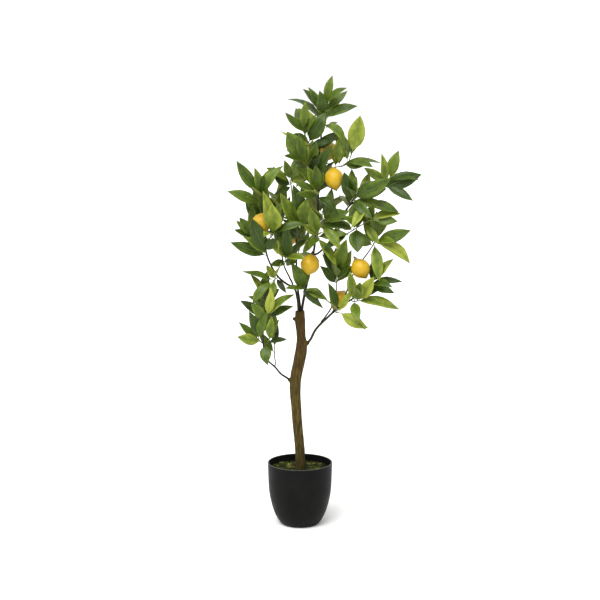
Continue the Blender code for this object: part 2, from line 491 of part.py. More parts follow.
def main():
    cleared_scene()
    pot()
    soil()
    moss()

    lines = {"trunk": ([row[:3] for row in TRUNK], [row[3] for row in TRUNK])}
    trunk_mesh = tube(*lines["trunk"], TRUNK_SIDES)
    trunk = finished("trunk", trunk_mesh, "bark")
    stubs = [
        finished("stub", tube((low, high), (wide, slim), BRANCH_SIDES), "bark")
        for low, high, wide, slim in STUBS
    ]
    combined(trunk, stubs, "UNION")

    solids = []
    sockets = []
    for name, (parent, first, last, line) in BRANCHES.items():
        radii = tapered(first, last, len(line))
        if parent == "trunk":
            line = [Vector(point) for point in line]
            deeper = [line[0] - (line[1] - line[0]).normalized() * GAP, line[1]]
            sockets.append(finished("socket", tube(deeper, (first + GAP, first + GAP), BRANCH_SIDES), "bark"))
        else:
            line = placed_line(line, first, lines[parent])
        lines[name] = (line, radii)
        mesh = tube(line, radii, BRANCH_SIDES)
        solids.append(BVHTree.FromBMesh(mesh))
        finished(name, mesh, "stem")
    combined(trunk, sockets, "DIFFERENCE")

    for name, (parent, start, middle, nipple) in LEMONS.items():
        nipple = Vector(nipple).normalized()
        end = Vector(middle) + nipple * LEMON_LENGTH / 2
        calyx = end - nipple * LEMON_LENGTH
        neck = calyx - nipple * 0.5
        line = placed_line((start, neck, calyx), STALK_RADIUS, lines[parent])
        fruit = [(end - nipple * LEMON_LENGTH * share, LEMON_RADIUS * wide) for share, wide in LEMON_OUTLINE]
        stations = [*fruit, (calyx, STALK_RADIUS * 2), (neck, STALK_RADIUS), (line[0], STALK_RADIUS)]
        mesh = tube(*zip(*stations), LEMON_SIDES)
        solids.append(BVHTree.FromBMesh(mesh))
        finished(name, mesh, "lemon")

    twigs = {}
    for name, (parent, line, _) in SHOOTS.items():
        line = placed_line(line, TWIG_RADII[0], lines[parent])
        mesh = tube(line, tapered(*TWIG_RADII, len(line)), TWIG_SIDES)
        twigs[name] = (line, mesh)
    taken = {name: [BVHTree.FromBMesh(mesh)] for name, (_, mesh) in twigs.items()}
    blades = {name: [] for name in SHOOTS}
    for filling in (False, True):
        for number, (name, (_, _, leaves)) in enumerate(SHOOTS.items()):
            line = twigs[name][0]
            others = solids + [tree for other in SHOOTS if other != name for tree in taken[other]]
            if filling:
                wanted = filling_leaves(line, number, 0 if name.startswith(LOOSE_SHOOTS) else FILLERS)
            else:
                wanted = chosen_leaves(line, leaves)
            new = grown(wanted, others)
            taken[name] += [BVHTree.FromBMesh(blade) for blade in new]
            blades[name] += new
    for name in SHOOTS:
        shoot = finished(name, twigs[name][1], "leaf")
        combined(shoot, [finished("blade", blade, "leaf") for blade in blades[name]], "UNION")


main()
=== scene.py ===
"""Potted lemon tree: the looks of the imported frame.

Every piece stands where its CAD node stands. Lengths and places below are in centimetres, and CM turns them
to metres. The front of the tree is -Y.
"""

import math
import random

import bmesh
import bpy
import numpy as np
from mathutils import Matrix, Vector, kdtree, noise


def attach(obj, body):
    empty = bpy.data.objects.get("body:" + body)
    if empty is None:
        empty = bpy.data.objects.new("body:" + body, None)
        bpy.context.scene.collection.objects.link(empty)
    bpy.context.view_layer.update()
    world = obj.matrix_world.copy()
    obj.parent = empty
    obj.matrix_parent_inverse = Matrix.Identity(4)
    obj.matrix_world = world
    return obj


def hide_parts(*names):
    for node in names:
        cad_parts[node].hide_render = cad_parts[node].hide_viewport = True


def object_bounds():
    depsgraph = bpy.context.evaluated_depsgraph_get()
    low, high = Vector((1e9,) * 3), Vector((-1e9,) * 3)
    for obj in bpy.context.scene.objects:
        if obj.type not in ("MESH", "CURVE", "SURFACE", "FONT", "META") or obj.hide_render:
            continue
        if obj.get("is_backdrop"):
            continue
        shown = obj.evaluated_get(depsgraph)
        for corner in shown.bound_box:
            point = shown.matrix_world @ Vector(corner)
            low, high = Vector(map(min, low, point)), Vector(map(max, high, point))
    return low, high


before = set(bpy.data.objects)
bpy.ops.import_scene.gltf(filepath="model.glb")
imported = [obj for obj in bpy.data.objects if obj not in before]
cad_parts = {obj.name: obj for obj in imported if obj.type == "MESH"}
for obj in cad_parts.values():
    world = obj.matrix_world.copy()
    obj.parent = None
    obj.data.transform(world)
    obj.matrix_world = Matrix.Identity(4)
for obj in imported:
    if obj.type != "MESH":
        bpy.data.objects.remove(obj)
cad_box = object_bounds()
CM = 0.01
MM = 0.001
ROOT = "root"
RANDOM_SEED = 7

# ---------------------------------------------------------------- the frame's own lines, as the CAD has them

GAP = 0.03
LEAST_SLANT = 0.3
END_SHARE = 0.99
# Trunk: (x, y, height, radius) up its middle.
TRUNK = (
    (0, 0, 4.05, 1.2), (0, 0, 14, 1.2), (0, 0, 18, 1.24), (-0.25, 0, 22, 1.22), (-0.65, 0, 26, 1.24),
    (-0.9, 0, 30, 1.28), (-1.2, 0, 34, 1.36), (-1.2, 0, 36.5, 1.44), (-0.65, 0, 40, 1.46),
    (0.15, 0, 44, 1.48), (0.42, 0, 46.4, 1.4), (0.3, 0, 48.2, 1.16), (0.2, 0, 50.2, 1.16),
    (0, 0, 52.6, 1.26), (0, 0, 55, 1.14),
)
# Stubs on the trunk: the two ends, and the radius at each.
STUBS = (
    ((0.3, 0, 45.6), (2.1, -0.3, 47.1), 0.8, 0.5),
    ((-1.0, 0, 36.0), (-2.9, -0.6, 37.7), 0.8, 0.48),
    ((0, 0, 52.1), (-1.7, -0.22, 53.2), 0.62, 0.35),
)

# Branches: what each springs from, its radius at both ends, and its middle line.
BRANCHES = {
    "leader": ("trunk", 0.36, 0.2, (
        (0.5, -0.1, 53.8), (0.55, -0.1, 55.6), (1.2, -0.2, 59.5), (1.8, -0.4, 62.4), (2.4, -0.6, 65),
        (3.4, -0.8, 70), (3.9, -1, 74), (4.3, -1.2, 78), (4.5, -1.4, 83), (4.6, -1.7, 91), (5, -2, 97.5))),
    "left_main": ("trunk", 0.32, 0.18, (
        (-0.42, -0.3, 53.8), (-0.4, -0.35, 55.6), (-0.7, -0.7, 58.5), (-1.4, -1.2, 60.8), (-3.5, -2.4, 62.3),
        (-5.5, -3.6, 64.3), (-7.1, -4.3, 67), (-8.2, -4.5, 70), (-8.8, -4.3, 75), (-9.2, -4.9, 80.5))),
    "centre_stem": ("trunk", 0.28, 0.16, (
        (0.05, 0.5, 53.8), (0.05, 0.55, 55.6), (-0.6, 1.2, 61), (-0.8, 1.5, 64), (-0.9, 1.2, 70),
        (-1, 0.4, 74), (-1.6, -0.5, 80), (-2, -1, 85))),
    "right_low": ("trunk", 0.34, 0.2, (
        (1.0, -0.12, 46.2), (2.2, -0.3, 47.2), (4, -1, 50.5), (7, -2, 53.8), (8.2, -2.4, 55),
        (10.8, -3.2, 57.2), (12.5, -3.6, 58.3), (16.5, -4.2, 61.5))),
    "left_low": ("trunk", 0.27, 0.16, (
        (-1.85, -0.28, 36.8), (-3, -0.62, 37.8), (-4.8, -1.4, 39.2), (-6.2, -2, 41), (-8.2, -2.8, 43.2),
        (-9.2, -3.6, 48), (-8.9, -4.4, 53), (-9.4, -5, 57))),
    "left_inner": ("left_main", 0.22, 0.15, (
        (-1.4, -1.2, 60.8), (-2.6, -0.5, 63.5), (-4, -0.2, 66.5), (-4.6, 0, 70), (-5, 0.5, 75))),
    "right_upper": ("leader", 0.25, 0.16, (
        (3.2, -0.8, 69), (5.6, -1.6, 70.7), (7.3, -2, 72.5), (8.8, -2.3, 75.8), (12, -3, 81.5),
        (15.6, -3.5, 83.8), (18.5, -3.8, 85))),
    "right_fork": ("right_low", 0.22, 0.15, (
        (4.3, -1.1, 50.9), (6, -0.9, 53.2), (8, -1.2, 56.4), (9.1, -1.2, 60.6))),
    "right_rise": ("right_low", 0.2, 0.15, (
        (10.8, -3.2, 57.2), (11.9, -1.8, 61), (14, -1.2, 66), (16.4, -2.4, 69.4), (17.4, -2.9, 71))),
}

# Lemons: what the stalk springs from, where, the middle of the fruit, and the way its nipple points.
LEMON_RADIUS = 2.4
LEMON_LENGTH = 5.7
STALK_RADIUS = 0.15
# Outline of a lemon from its nipple to its calyx: share of its length, share of its radius.
LEMON_OUTLINE = (
    (0, 0.07), (0.05, 0.2), (0.12, 0.42), (0.25, 0.8), (0.48, 1.0), (0.72, 0.86), (0.9, 0.48), (0.97, 0.24),
)
LEMONS = {
    "lemon_upper": ("leader", (4.6, -1.7, 92), (8.3, -5.2, 88.5), (0.25, -0.2, -1)),
    "lemon_left": ("left_main", (-9.1, -4.7, 79), (-9.4, -7.8, 77.8), (-0.4, -0.5, -0.8)),
    "lemon_centre": ("leader", (3.4, -0.8, 70.3), (2.4, -5.4, 67.4), (-0.15, -0.6, -0.8)),
    "lemon_right": ("right_rise", (15.1, -1.7, 67.7), (14.9, -5.6, 66.4), (0.5, -0.3, -0.8)),
    "lemon_low": ("right_low", (7.8, -2.3, 54.6), (9.9, 1.7, 57.5), (0.5, 0.35, 0.8)),
    "lemon_top": ("leader", (4.8, -1.8, 95.5), (6.9, 1.9, 94.8), (0.1, 0.6, -0.8)),
    "lemon_back": ("centre_stem", (-0.9, 0.7, 73), (-2.4, 5, 73.4), (-0.2, 0.4, -1)),
}

# Leafy shoots: what each springs from, its twig's middle line, and its leaves up the twig. A leaf is the
# place of its tip, then how wide it shows from the front, then how far it arches as a share of its length.
TWIG_RADII = (0.16, 0.11)
FIRST_LEAF = 0.4
SHOOTS = {
    "shoot_tip": ("leader", ((5, -2, 97.5), (5.5, -2.4, 102), (6.3, -2.8, 106.5)), (
        (11.3, -6, 96, 2.0, 0.3), (-2.7, -3.4, 108, 1.8, 0.14), (13.8, -4, 106.1, 2.0), (5, -5, 109.5, 3),
        (11.5, -2, 109.4, 1.6), (2.2, -3.6, 110.6, 1.6, -0.12), (7.8, -3, 113.2, 1.7))),
    "shoot_top_left": ("leader", ((4.6, -1.7, 91.6), (2.6, -2.8, 96), (0.6, -3.6, 100.3)), (
        (9.6, -4.6, 99.8, 2.6), (7.6, -5, 97.6, 2), (6, -5.6, 104.5, 4), (-1.6, -4, 99.2, 1.5),
        (1.3, -2.4, 104.2, 2.4), (-3.6, -4, 104.2, 1.4), (0.6, -5, 107.3, 2.2))),
    "shoot_upper_left": ("leader", ((4.5, -1.5, 87), (2.4, -3, 89.6), (0.8, -4, 92.8)), (
        (7.6, -6.6, 96.6, 3), (5, -6.5, 94, 2.4), (4, -7, 97.4, 2.6), (-1.4, -2, 92.6, 1.4),
        (-0.4, -5.6, 99.2, 2.6), (2.4, -2.6, 99, 2.2), (-3.1, -5.6, 99.8, 4.4))),
    "shoot_top_right": ("leader", (
        (4.6, -1.7, 89.6), (8.4, -2.6, 91), (11.3, -3.2, 91.8), (12.7, -3.6, 94.6)), (
        (9.6, -5.6, 98.6, 2.2), (20, -3, 92.2, 1.6, 0.1), (16.2, -5.2, 92, 2.2), (10.8, 0.5, 98.6, 2),
        (9.4, -2.6, 95.4, 1.8), (14.8, -5, 103.6, 4.2))),
    "shoot_mid_front": ("leader", ((4.5, -1.4, 81.8), (4.3, -3.2, 84), (4.2, -4.6, 86)), (
        (9.4, -6.8, 79.8, 2, 0.26), (-0.8, -6.6, 85, 2), (-1.5, -5, 87.8, 2), (1.8, -6.4, 91.4, 2.6),
        (5.6, -2.6, 92, 1.8), (3.6, -8, 92, 2.6), (6.4, -5.4, 90, 1.6))),
    "shoot_mid_right": ("leader", ((4.2, -1.1, 76.4), (5, -3, 77.4), (5.8, -4.6, 78.6)), (
        (12.6, -4.6, 76.2, 2, 0.1), (9.8, -7.6, 71.4, 2), (11.9, -6.4, 80.6, 3), (9.2, -2.6, 82.4, 1.6),
        (6.3, -5.8, 83.8, 1.8))),
    "shoot_low_front": ("leader", ((3.8, -1, 73), (4.2, -3.2, 73.8), (4.4, -5, 74.6)), (
        (0.6, -5.4, 70, 1.8), (8.8, -6, 66.8, 1.6), (10.6, -6.6, 76, 2.4), (0.6, -7.6, 77.6, 2),
        (2.6, -8, 81.6, 3))),
    "shoot_centre": ("centre_stem", ((-0.95, 0.9, 71), (-0.2, -1.8, 74), (0.6, -3.2, 76)), (
        (-5.4, -4, 76.2, 2.2), (-4, -6, 78.6, 1.8), (4, -4.6, 81.4, 2), (-5, -6.4, 84.9, 2.8),
        (-1.8, -5.4, 87, 2), (1.6, -6, 83.6, 3.6))),
    "shoot_centre_top": ("centre_stem", ((-2, -1, 85), (-2.2, -1.6, 86.6), (-2.5, -2.2, 88)), (
        (-6.4, -4.4, 84.4, 1.4), (-6.6, -3.6, 88.8, 2.6), (2.4, -3, 90, 2.4), (1.8, 1, 92, 2),
        (-3.7, -3, 92.8, 2))),
    "shoot_inner_low": ("left_inner", ((-4, -0.2, 66.5), (-3.6, -2.6, 68), (-3.4, -4.2, 69.6)), (
        (-0.9, -5.4, 68, 2.8), (-7.4, -5, 67, 2), (-1.9, -6, 74, 3), (-5.4, -6.4, 74.4, 2.6),
        (-6, -5.4, 79.6, 2), (-3.4, -7, 77.6, 2))),
    "shoot_inner_top": ("left_inner", ((-5, 0.5, 75), (-5.1, 0.2, 77), (-5.4, -0.6, 80)), (
        (-3.6, -4, 80.4, 1.6), (-9, 0.5, 82, 2), (-2.6, 1, 83.5, 1.8), (-8.4, -3, 84, 2.2),
        (-3.4, -3, 87.4, 2.2), (-5, 3, 87, 2))),
    "shoot_left_tip": ("left_main", ((-9.2, -4.9, 80.5), (-9.6, -6, 83), (-10, -7, 85)), (
        (-17.4, -8, 85.7, 2.6), (-12.8, -10, 84.6, 1.2), (-8.2, -9, 89.8, 3.4), (-4.5, -7, 91.9, 2.2),
        (-10.9, -9, 91.4, 1.6), (-15.4, -8, 92.8, 2.4))),
    "shoot_left_front": ("left_main", ((-8.6, -4.4, 73.2), (-7, -6.6, 74.4), (-6.2, -8, 75.6)), (
        (-3.6, -8.6, 78.8, 1.4), (-5.2, -9.6, 70.4, 2), (-4.2, -8, 83, 1.8), (-10.6, -10, 86, 2.4),
        (-7.6, -11, 83, 4.2))),
    "shoot_left_out": ("left_main", ((-8.4, -4.5, 71.6), (-10.2, -6, 73), (-11.6, -7, 74.2)), (
        (-13.6, -8.6, 74.4, 1.5), (-16, -9, 76.3, 1.3), (-15.5, -7.4, 78.4, 1.6), (-12, -4, 82, 2.2),
        (-13, -9, 80.3, 2.6))),
    "shoot_left_under": ("left_main", ((-7.7, -4.4, 68.6), (-8.2, -6.6, 70), (-8.4, -8, 71.2)), (
        (-16.9, -7.4, 73, 3), (-13.4, -9.6, 74.8, 2), (-12, -12, 79.6, 3.8), (-5.6, -10.4, 74.4, 2.4))),
    "shoot_left_back": ("left_main", ((-8.7, -4.3, 74), (-9.5, -2.2, 76), (-9.8, -0.6, 78)), (
        (-13.6, 1.5, 75, 2), (-13.5, 0.5, 82), (-6.6, 2.6, 82), (-5.4, 3.4, 76.6), (-11.2, 1, 86),
        (-8.6, 1.6, 87))),
    "shoot_hanging": ("left_main", ((-5.3, -3.5, 64.1), (-6, -5, 63.9), (-6.6, -6, 63.4)), (
        (-3.4, -7, 60.6, 1.4), (-8.4, -7.6, 67.6, 1.8), (-6.8, -9, 59.6, 2), (-11.8, -7, 57.6, 1.8, 0.25))),
    "shoot_low_left_top": ("left_low", ((-9.4, -5, 57), (-9.3, -5.3, 58.4), (-9, -5.6, 59.8)), (
        (-12.8, -6.4, 59.6, 1.2), (-5.2, -7, 61.4, 3, 0.12), (-8, -2.4, 65.4, 2), (-12.2, -6, 65, 1.3))),
    "shoot_low_left_mid": ("left_low", ((-8.9, -4.3, 52.4), (-8.3, -6, 53.6), (-8, -7, 55)), (
        (-14.7, -6, 58.6, 1.5), (-1.8, -6.4, 57.4, 1.2), (-12, -8.4, 58.2, 2.5),
        (-1.4, -7.4, 60.4, 1.6, 0.16), (-7.6, -9, 62.4, 2.2))),
    "shoot_low_left_out": ("left_low", ((-9.1, -3.5, 47.3), (-9.9, -4.8, 48.2), (-10.3, -5.6, 49)), (
        (-15.4, -6.4, 49.6, 2.8), (-15.1, -4.6, 53, 1.8), (-12.4, -7, 56, 2), (-9.6, -6.6, 56.6, 2.5))),
    "shoot_low_left_under": ("left_low", ((-9, -3.4, 46.4), (-8.2, -4.8, 47.6), (-7.6, -5.8, 48.8)), (
        (-8.4, -7.6, 43, 3), (-3.2, -6, 48.8, 1.2), (-5.2, -6.6, 54, 1.4), (-7.6, -8, 55.4, 2))),
    "shoot_low_left_inner": ("left_low", ((-6.2, -2, 41), (-6.4, -1.2, 44), (-6.4, -0.6, 49)), (
        (-10.4, 1.4, 49.6), (-5.6, 2.4, 51), (-9.4, 2.4, 55), (-8, -1.4, 56.6))),
    "shoot_low_left_back": ("left_low", ((-9, -4, 50.6), (-9.8, -2, 52.4), (-10.2, -0.8, 54)), (
        (-12, 3, 53.4), (-7, 3.4, 55.6), (-10.8, 2.6, 57.8), (-8.6, 0.8, 61))),
    "shoot_right_tip": ("right_upper", ((18.5, -3.8, 85), (20.4, -4.2, 86.2), (22, -4.4, 88.2)), (
        (29.4, -5.6, 89.5, 4), (27.3, -7, 83.2, 1.8), (15.7, -4, 91, 2.2), (23.9, -5, 95.2, 2.9))),
    "shoot_right_upper": ("right_upper", ((12, -3, 81.5), (12.7, -4.4, 83), (13.4, -5.2, 84.4)), (
        (9.8, -7, 90.4, 3.4), (20.6, -4, 80.8, 2), (13.8, -5.4, 88.9, 1.2), (17.6, -9, 79, 2.4),
        (21, -6, 86, 2.6), (22, -8, 88.6, 3.6), (18.4, -6.4, 88, 3))),
    "shoot_right_under": ("right_upper", ((14.4, -3.3, 83), (15.3, -4.8, 82.5), (16.4, -5.6, 82.2)), (
        (13.8, -7, 76.6, 2.8), (24, -7.4, 82, 2.2), (11.4, -7.6, 81, 3.4))),
    "shoot_right_mid": ("right_upper", (
        (7.3, -2, 72.5), (11.5, -3.8, 74.8), (14.6, -4.6, 76.8), (17.8, -5, 78.6)), (
        (5.4, -6.6, 71.6, 2), (9.6, -3, 78, 2), (14, -7.4, 70.6, 4), (10.6, -7.6, 80, 2.4),
        (19.2, -7, 72.4, 2.2), (15.4, -6.6, 84, 2.2), (23.8, -6, 78.2, 2.6))),
    "shoot_right_rise": ("right_rise", ((17.4, -2.9, 71), (18, -3.4, 72), (18.6, -3.8, 73.2)), (
        (12.8, -4.2, 74.6, 3), (15, -6.4, 78, 2.4), (19.2, -7, 63.4, 2.6), (27.2, -4, 67.6, 2.2, 0.15),
        (27, -5, 75.9, 3.2), (18.4, -5.8, 80, 3.6))),
    "shoot_right_low_tip": ("right_low", ((16.5, -4.2, 61.5), (17.1, -4.4, 62.1), (17.8, -4.7, 62.9)), (
        (25.2, -4, 62.8, 1.2, 0.08), (23.1, -7, 60.8, 2.2), (18, -3.4, 70, 2.4), (19.4, -5.6, 69, 2.2))),
    "shoot_right_low_under": ("right_low", ((12.5, -3.6, 58.3), (13.4, -5.2, 58.2), (14.4, -6, 58.5)), (
        (20.4, -5, 64.6, 1.4), (12.2, -6.4, 65.8, 2.4), (24.2, -8, 56.2, 2.2, 0.14), (14.6, -9.6, 64, 2.8),
        (18, -9.8, 65, 3.2))),
    "shoot_right_low_front": ("right_low", ((8.6, -2.5, 55.3), (9.2, -4, 55.2), (9.9, -5.4, 55.4)), (
        (7.2, -5, 62.8, 1.4), (16.6, -7, 51.8, 2.9, 0.2))),
    "shoot_right_fork": ("right_fork", ((9.1, -1.2, 60.7), (9.1, -1.5, 62.2), (9, -2.2, 64)), (
        (5.3, -3.4, 66.8, 2.4), (12.6, 2.6, 67), (12.6, -2.4, 70.6, 2.8), (5.8, -2, 71.8, 2),
        (8.8, -4.6, 71.6, 2.6), (12.4, -5.6, 67.4, 2.6), (10, -5.4, 74.6, 3.6))),
    "shoot_trunk_top": ("leader", ((1.1, -0.2, 59), (0.9, -2.6, 60.4), (1.2, -4.2, 61.4)), (
        (5.4, -6, 56.6, 2.2, 0.26), (-0.8, -6.8, 68.2, 3.4), (6.8, -6.4, 58.8, 1.8, 0.2))),
    "shoot_back_top": ("leader", ((4.9, -1.9, 95.6), (5.3, 0.6, 98.6), (5.2, 2.2, 100.4)), (
        (10.6, 5.4, 97), (0.6, 5, 103), (9.2, 6, 104.6), (4.6, 5, 108))),
    "shoot_back_upper": ("leader", ((4.5, -1.4, 85), (4.4, 2.6, 86), (4.2, 5.4, 87.6)), (
        (0, 10, 84), (9.4, 10, 84.6), (-1.4, 8.6, 92), (9, 9, 92), (4, 12, 91), (4, 8, 96))),
    "shoot_back_mid": ("leader", ((4.1, -1.1, 75.8), (4.6, 3, 77), (5, 6, 79)), (
        (10, 10, 75), (1, 11, 77), (11.4, 9, 83), (1, 8.6, 85), (6, 13, 82))),
    "shoot_back_low": ("centre_stem", ((-0.88, 1.2, 68), (-0.3, 4.4, 69.4), (0.4, 7, 71.4)), (
        (5, 9.4, 66), (-5, 10.6, 68), (5.6, 10, 76), (-4.4, 10, 76.6), (0.6, 14.4, 73.4))),
    "shoot_back_right": ("right_upper", ((10, -2.6, 78), (11.6, 1.2, 80), (12.6, 4, 82)), (
        (17.6, 7, 79), (9.6, 8, 78.6), (18.4, 6.6, 86.4), (12, 7, 88), (14.4, 12, 85))),
    "shoot_back_left": ("left_inner", ((-4.7, 0.2, 72), (-5.6, 3.4, 73.6), (-6.4, 6, 75.6)), (
        (-12, 8, 73.4), (-2.6, 9.6, 74), (-11.4, 9.6, 81), (-4.6, 8.6, 82.6), (-7.4, 13.6, 78.4))),
    "shoot_back_column": ("leader", ((4.6, -1.6, 88.4), (3.8, 1.4, 89.6), (3, 4, 91)), (
        (0.8, 7.4, 86), (7.6, 7.4, 87.6), (0.4, 7, 96.4), (5, 9.6, 96), (3, 12, 92))),
}

# Short leaves that fill each shoot but the loose ones.
FILLERS = 3
LOOSE_SHOOTS = ("shoot_low_left", "shoot_left_out", "shoot_left_under")
FILLER_LENGTH = 8
FILLER_LEAN = math.radians(58)
FILLER_RISE = 0.3
GOLDEN_ANGLE = math.radians(137.5)

# A leaf's least width and usual arch, as shares of its length. Behind BACK_FROM a leaf faces the back, and
# PLAIN_TURN is how squarely a leaf with no listed width does so.
LEAF_SLIM = 0.31
LEAF_ARCH = 0.05
BACK_FROM = 1.0
PLAIN_TURN = 0.6
# A leaf with no room swerves by the first of these angles, ways round and lengths that gives it some.
SWERVES = (0, 8, 15, 23, 32, 42, 54)
WAYS_ROUND = 6
LENGTHS = (1, 0.85, 0.7)
SAME_PLACE = 0.02


def placed_line(line, radius, parent):
    """The line, started clear of its parent's surface, where the parent is a (line, radii) pair."""
    start, after = Vector(line[0]), Vector(line[1])
    nearest = None
    parent_points = [Vector(point) for point in parent[0]]
    for i, (low, high) in enumerate(zip(parent_points, parent_points[1:])):
        run = high - low
        share = min(max((start - low).dot(run) / run.length_squared, 0), 1)
        point = low + run * share
        if nearest is None or (start - point).length < nearest[0]:
            wide = parent[1][i] + (parent[1][i + 1] - parent[1][i]) * share
            at_end = i == len(parent_points) - 2 and share > END_SHARE
            nearest = ((start - point).length, point, run.normalized(), wide, at_end)
    _, point, run, wide, at_end = nearest
    way = (after - point).normalized()
    slant = max(way.cross(run).length, LEAST_SLANT)
    if at_end:
        clear = GAP + radius * slant
    else:
        clear = (wide + GAP + radius * abs(way.dot(run))) / slant
    return [point + way * clear, *[Vector(place) for place in line[1:]]]


def rooted(line, parent):
    """The line with a first point inside the stem that it grows from, so that no gap shows at the joint."""
    points = [Vector(point) for point in parent[0]]
    feet = []
    for low, high in zip(points, points[1:]):
        share = min(max((line[0] - low).dot(high - low) / (high - low).length_squared, 0), 1)
        feet.append(low.lerp(high, share))
    foot = min(feet, key=lambda place: (place - line[0]).length)
    return [foot, *line]


def point_along(line, share):
    """The point at a share of the length of a line of points."""
    runs = [(high - low).length for low, high in zip(line, line[1:])]
    left = share * sum(runs)
    for low, high, run in zip(line, line[1:], runs):
        if left <= run:
            return low.lerp(high, left / run)
        left -= run
    return line[-1].copy()


def swerved(base, tip):
    """Places for a leaf's tip, from the chosen one to ones further and further away."""
    along = tip - base
    across = along.orthogonal()
    for share in LENGTHS:
        for angle in SWERVES:
            for way in range(WAYS_ROUND if angle else 1):
                axis = Matrix.Rotation(2 * math.pi * way / WAYS_ROUND, 3, along) @ across
                yield base + Matrix.Rotation(math.radians(angle), 3, axis) @ along * share


def wanted_leaves(line, leaves, number, fillers):
    """Each leaf of shoot `number`: its base, chosen tip, shown width and arch. The fillers come last."""
    for i, (x, y, z, *shape) in enumerate(leaves):
        seen = shape[0] if shape else None
        arch = shape[1] if len(shape) > 1 else LEAF_ARCH
        base = point_along(line, FIRST_LEAF + (1 - FIRST_LEAF) * i / (len(leaves) - 1))
        yield base, Vector((x, y, z)), seen, arch
    run = (line[-1] - line[0]).normalized()
    for i in range(fillers):
        base = point_along(line, FIRST_LEAF + (1 - FIRST_LEAF) * (i + 0.5) / fillers)
        around = Matrix.Rotation(GOLDEN_ANGLE * (number + i), 3, run) @ run.orthogonal().normalized()
        way = run * math.cos(FILLER_LEAN) + around * math.sin(FILLER_LEAN) + Vector((0, 0, FILLER_RISE))
        yield base, base + way.normalized() * FILLER_LENGTH, None, LEAF_ARCH


def cad_points(node):
    """The points of a CAD node in a tree that finds the nearest, in centimetres."""
    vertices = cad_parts[node].data.vertices
    tree = kdtree.KDTree(len(vertices))
    for vertex in vertices:
        tree.insert(vertex.co / CM, vertex.index)
    tree.balance()
    return tree


def leaf_tip(points, base, chosen):
    """Where the CAD has the tip of the leaf, or None where it had no room for that leaf."""
    for tip in swerved(base, chosen):
        if points.find(tip)[2] < SAME_PLACE:
            return tip
    return None


# ---------------------------------------------------------------- materials

# Sockets by number: Math takes its values as 0 to 2. Map Range takes its value as 0, its old range as 1 and
# 2, and its new one as 3 and 4. Mix takes its share as 0 and its colours as 6 and 7.
VEINS = 11  # pairs of side veins on a leaf
VEIN_GAP = 0.5 / VEINS
VEIN_SLANT = 0.85
VEIN_WIDTH = 0.22 * VEIN_GAP
RIB_HALF = 0.012  # half a midrib's width, as a share of the leaf's
RED_BARK = (0.37, 0.46)  # heights over which the bark turns redder, in metres
DARK_FOOT = (0.14, 0.24)  # heights over which the trunk's dark foot fades
LIP_HIGHLIGHT_FROM = (0.1592, 0.1598)  # heights over which the painted highlight on the pot's lip comes in


def linear(value):
    return value / 12.92 if value <= 0.04045 else ((value + 0.055) / 1.055) ** 2.4


def colour(hex_text):
    """A linear colour from an sRGB hex value."""
    return (*(linear(int(hex_text[i : i + 2], 16) / 255) for i in (1, 3, 5)), 1)


def per_mm(size_mm):
    """The scale that makes a pattern's lumps this many millimetres across, on coordinates in metres."""
    return 1 / (size_mm * MM)


def add(tree, kind, sockets=None, out=0, stops=(), **settings):
    """A new shader node with its settings, colour stops and sockets' values or links. Returns one output."""
    made = tree.nodes.new("ShaderNode" + kind)
    for name, value in settings.items():
        setattr(made, name, value)
    for i, (position, hex_text) in enumerate(stops):
        elements = made.color_ramp.elements
        element = elements[i] if i < 2 else elements.new(position)
        element.position = position
        element.color = colour(hex_text)
    for name, value in (sockets or {}).items():
        if isinstance(value, bpy.types.NodeSocket):
            tree.links.new(value, made.inputs[name])
        else:
            made.inputs[name].default_value = value
    return made.outputs[out]


def new_material(name, **shader_values):
    """A material of one Principled shader with these plain values on its own sockets, and its node tree."""
    made = bpy.data.materials.new(name)
    made.use_nodes = True
    for socket, value in shader_values.items():
        made.node_tree.nodes["Principled BSDF"].inputs[socket.replace("_", " ")].default_value = value
    return made, made.node_tree


def dressed(made, skin, relief, depth_mm, strength=0.6):
    """The material with its colour, and its surface raised depth_mm from the relief's lowest to highest."""
    tree = made.node_tree
    shader = tree.nodes["Principled BSDF"]
    bump = add(tree, "Bump", {"Height": relief, "Distance": depth_mm * MM, "Strength": strength})
    tree.links.new(skin, shader.inputs["Base Color"])
    tree.links.new(bump, shader.inputs["Normal"])
    return made


def mottled(tree, tone, pattern, low, high, stops):
    """The colour of a tone that a pattern shifts by low to high."""
    speckle = add(tree, "MapRange", {0: pattern, 3: low, 4: high})
    shifted = add(tree, "Math", {0: tone, 1: speckle}, operation="ADD")
    return add(tree, "ValToRGB", {0: shifted}, stops=stops)


def from_midrib(tree, flat):
    """How far a place is from a leaf's midrib, as a share of its width."""
    sideways = add(tree, "SeparateXYZ", {0: flat}, out="X")
    off_rib = add(tree, "Math", {0: sideways, 1: 0.5}, operation="SUBTRACT")
    return add(tree, "Math", {0: off_rib}, operation="ABSOLUTE")


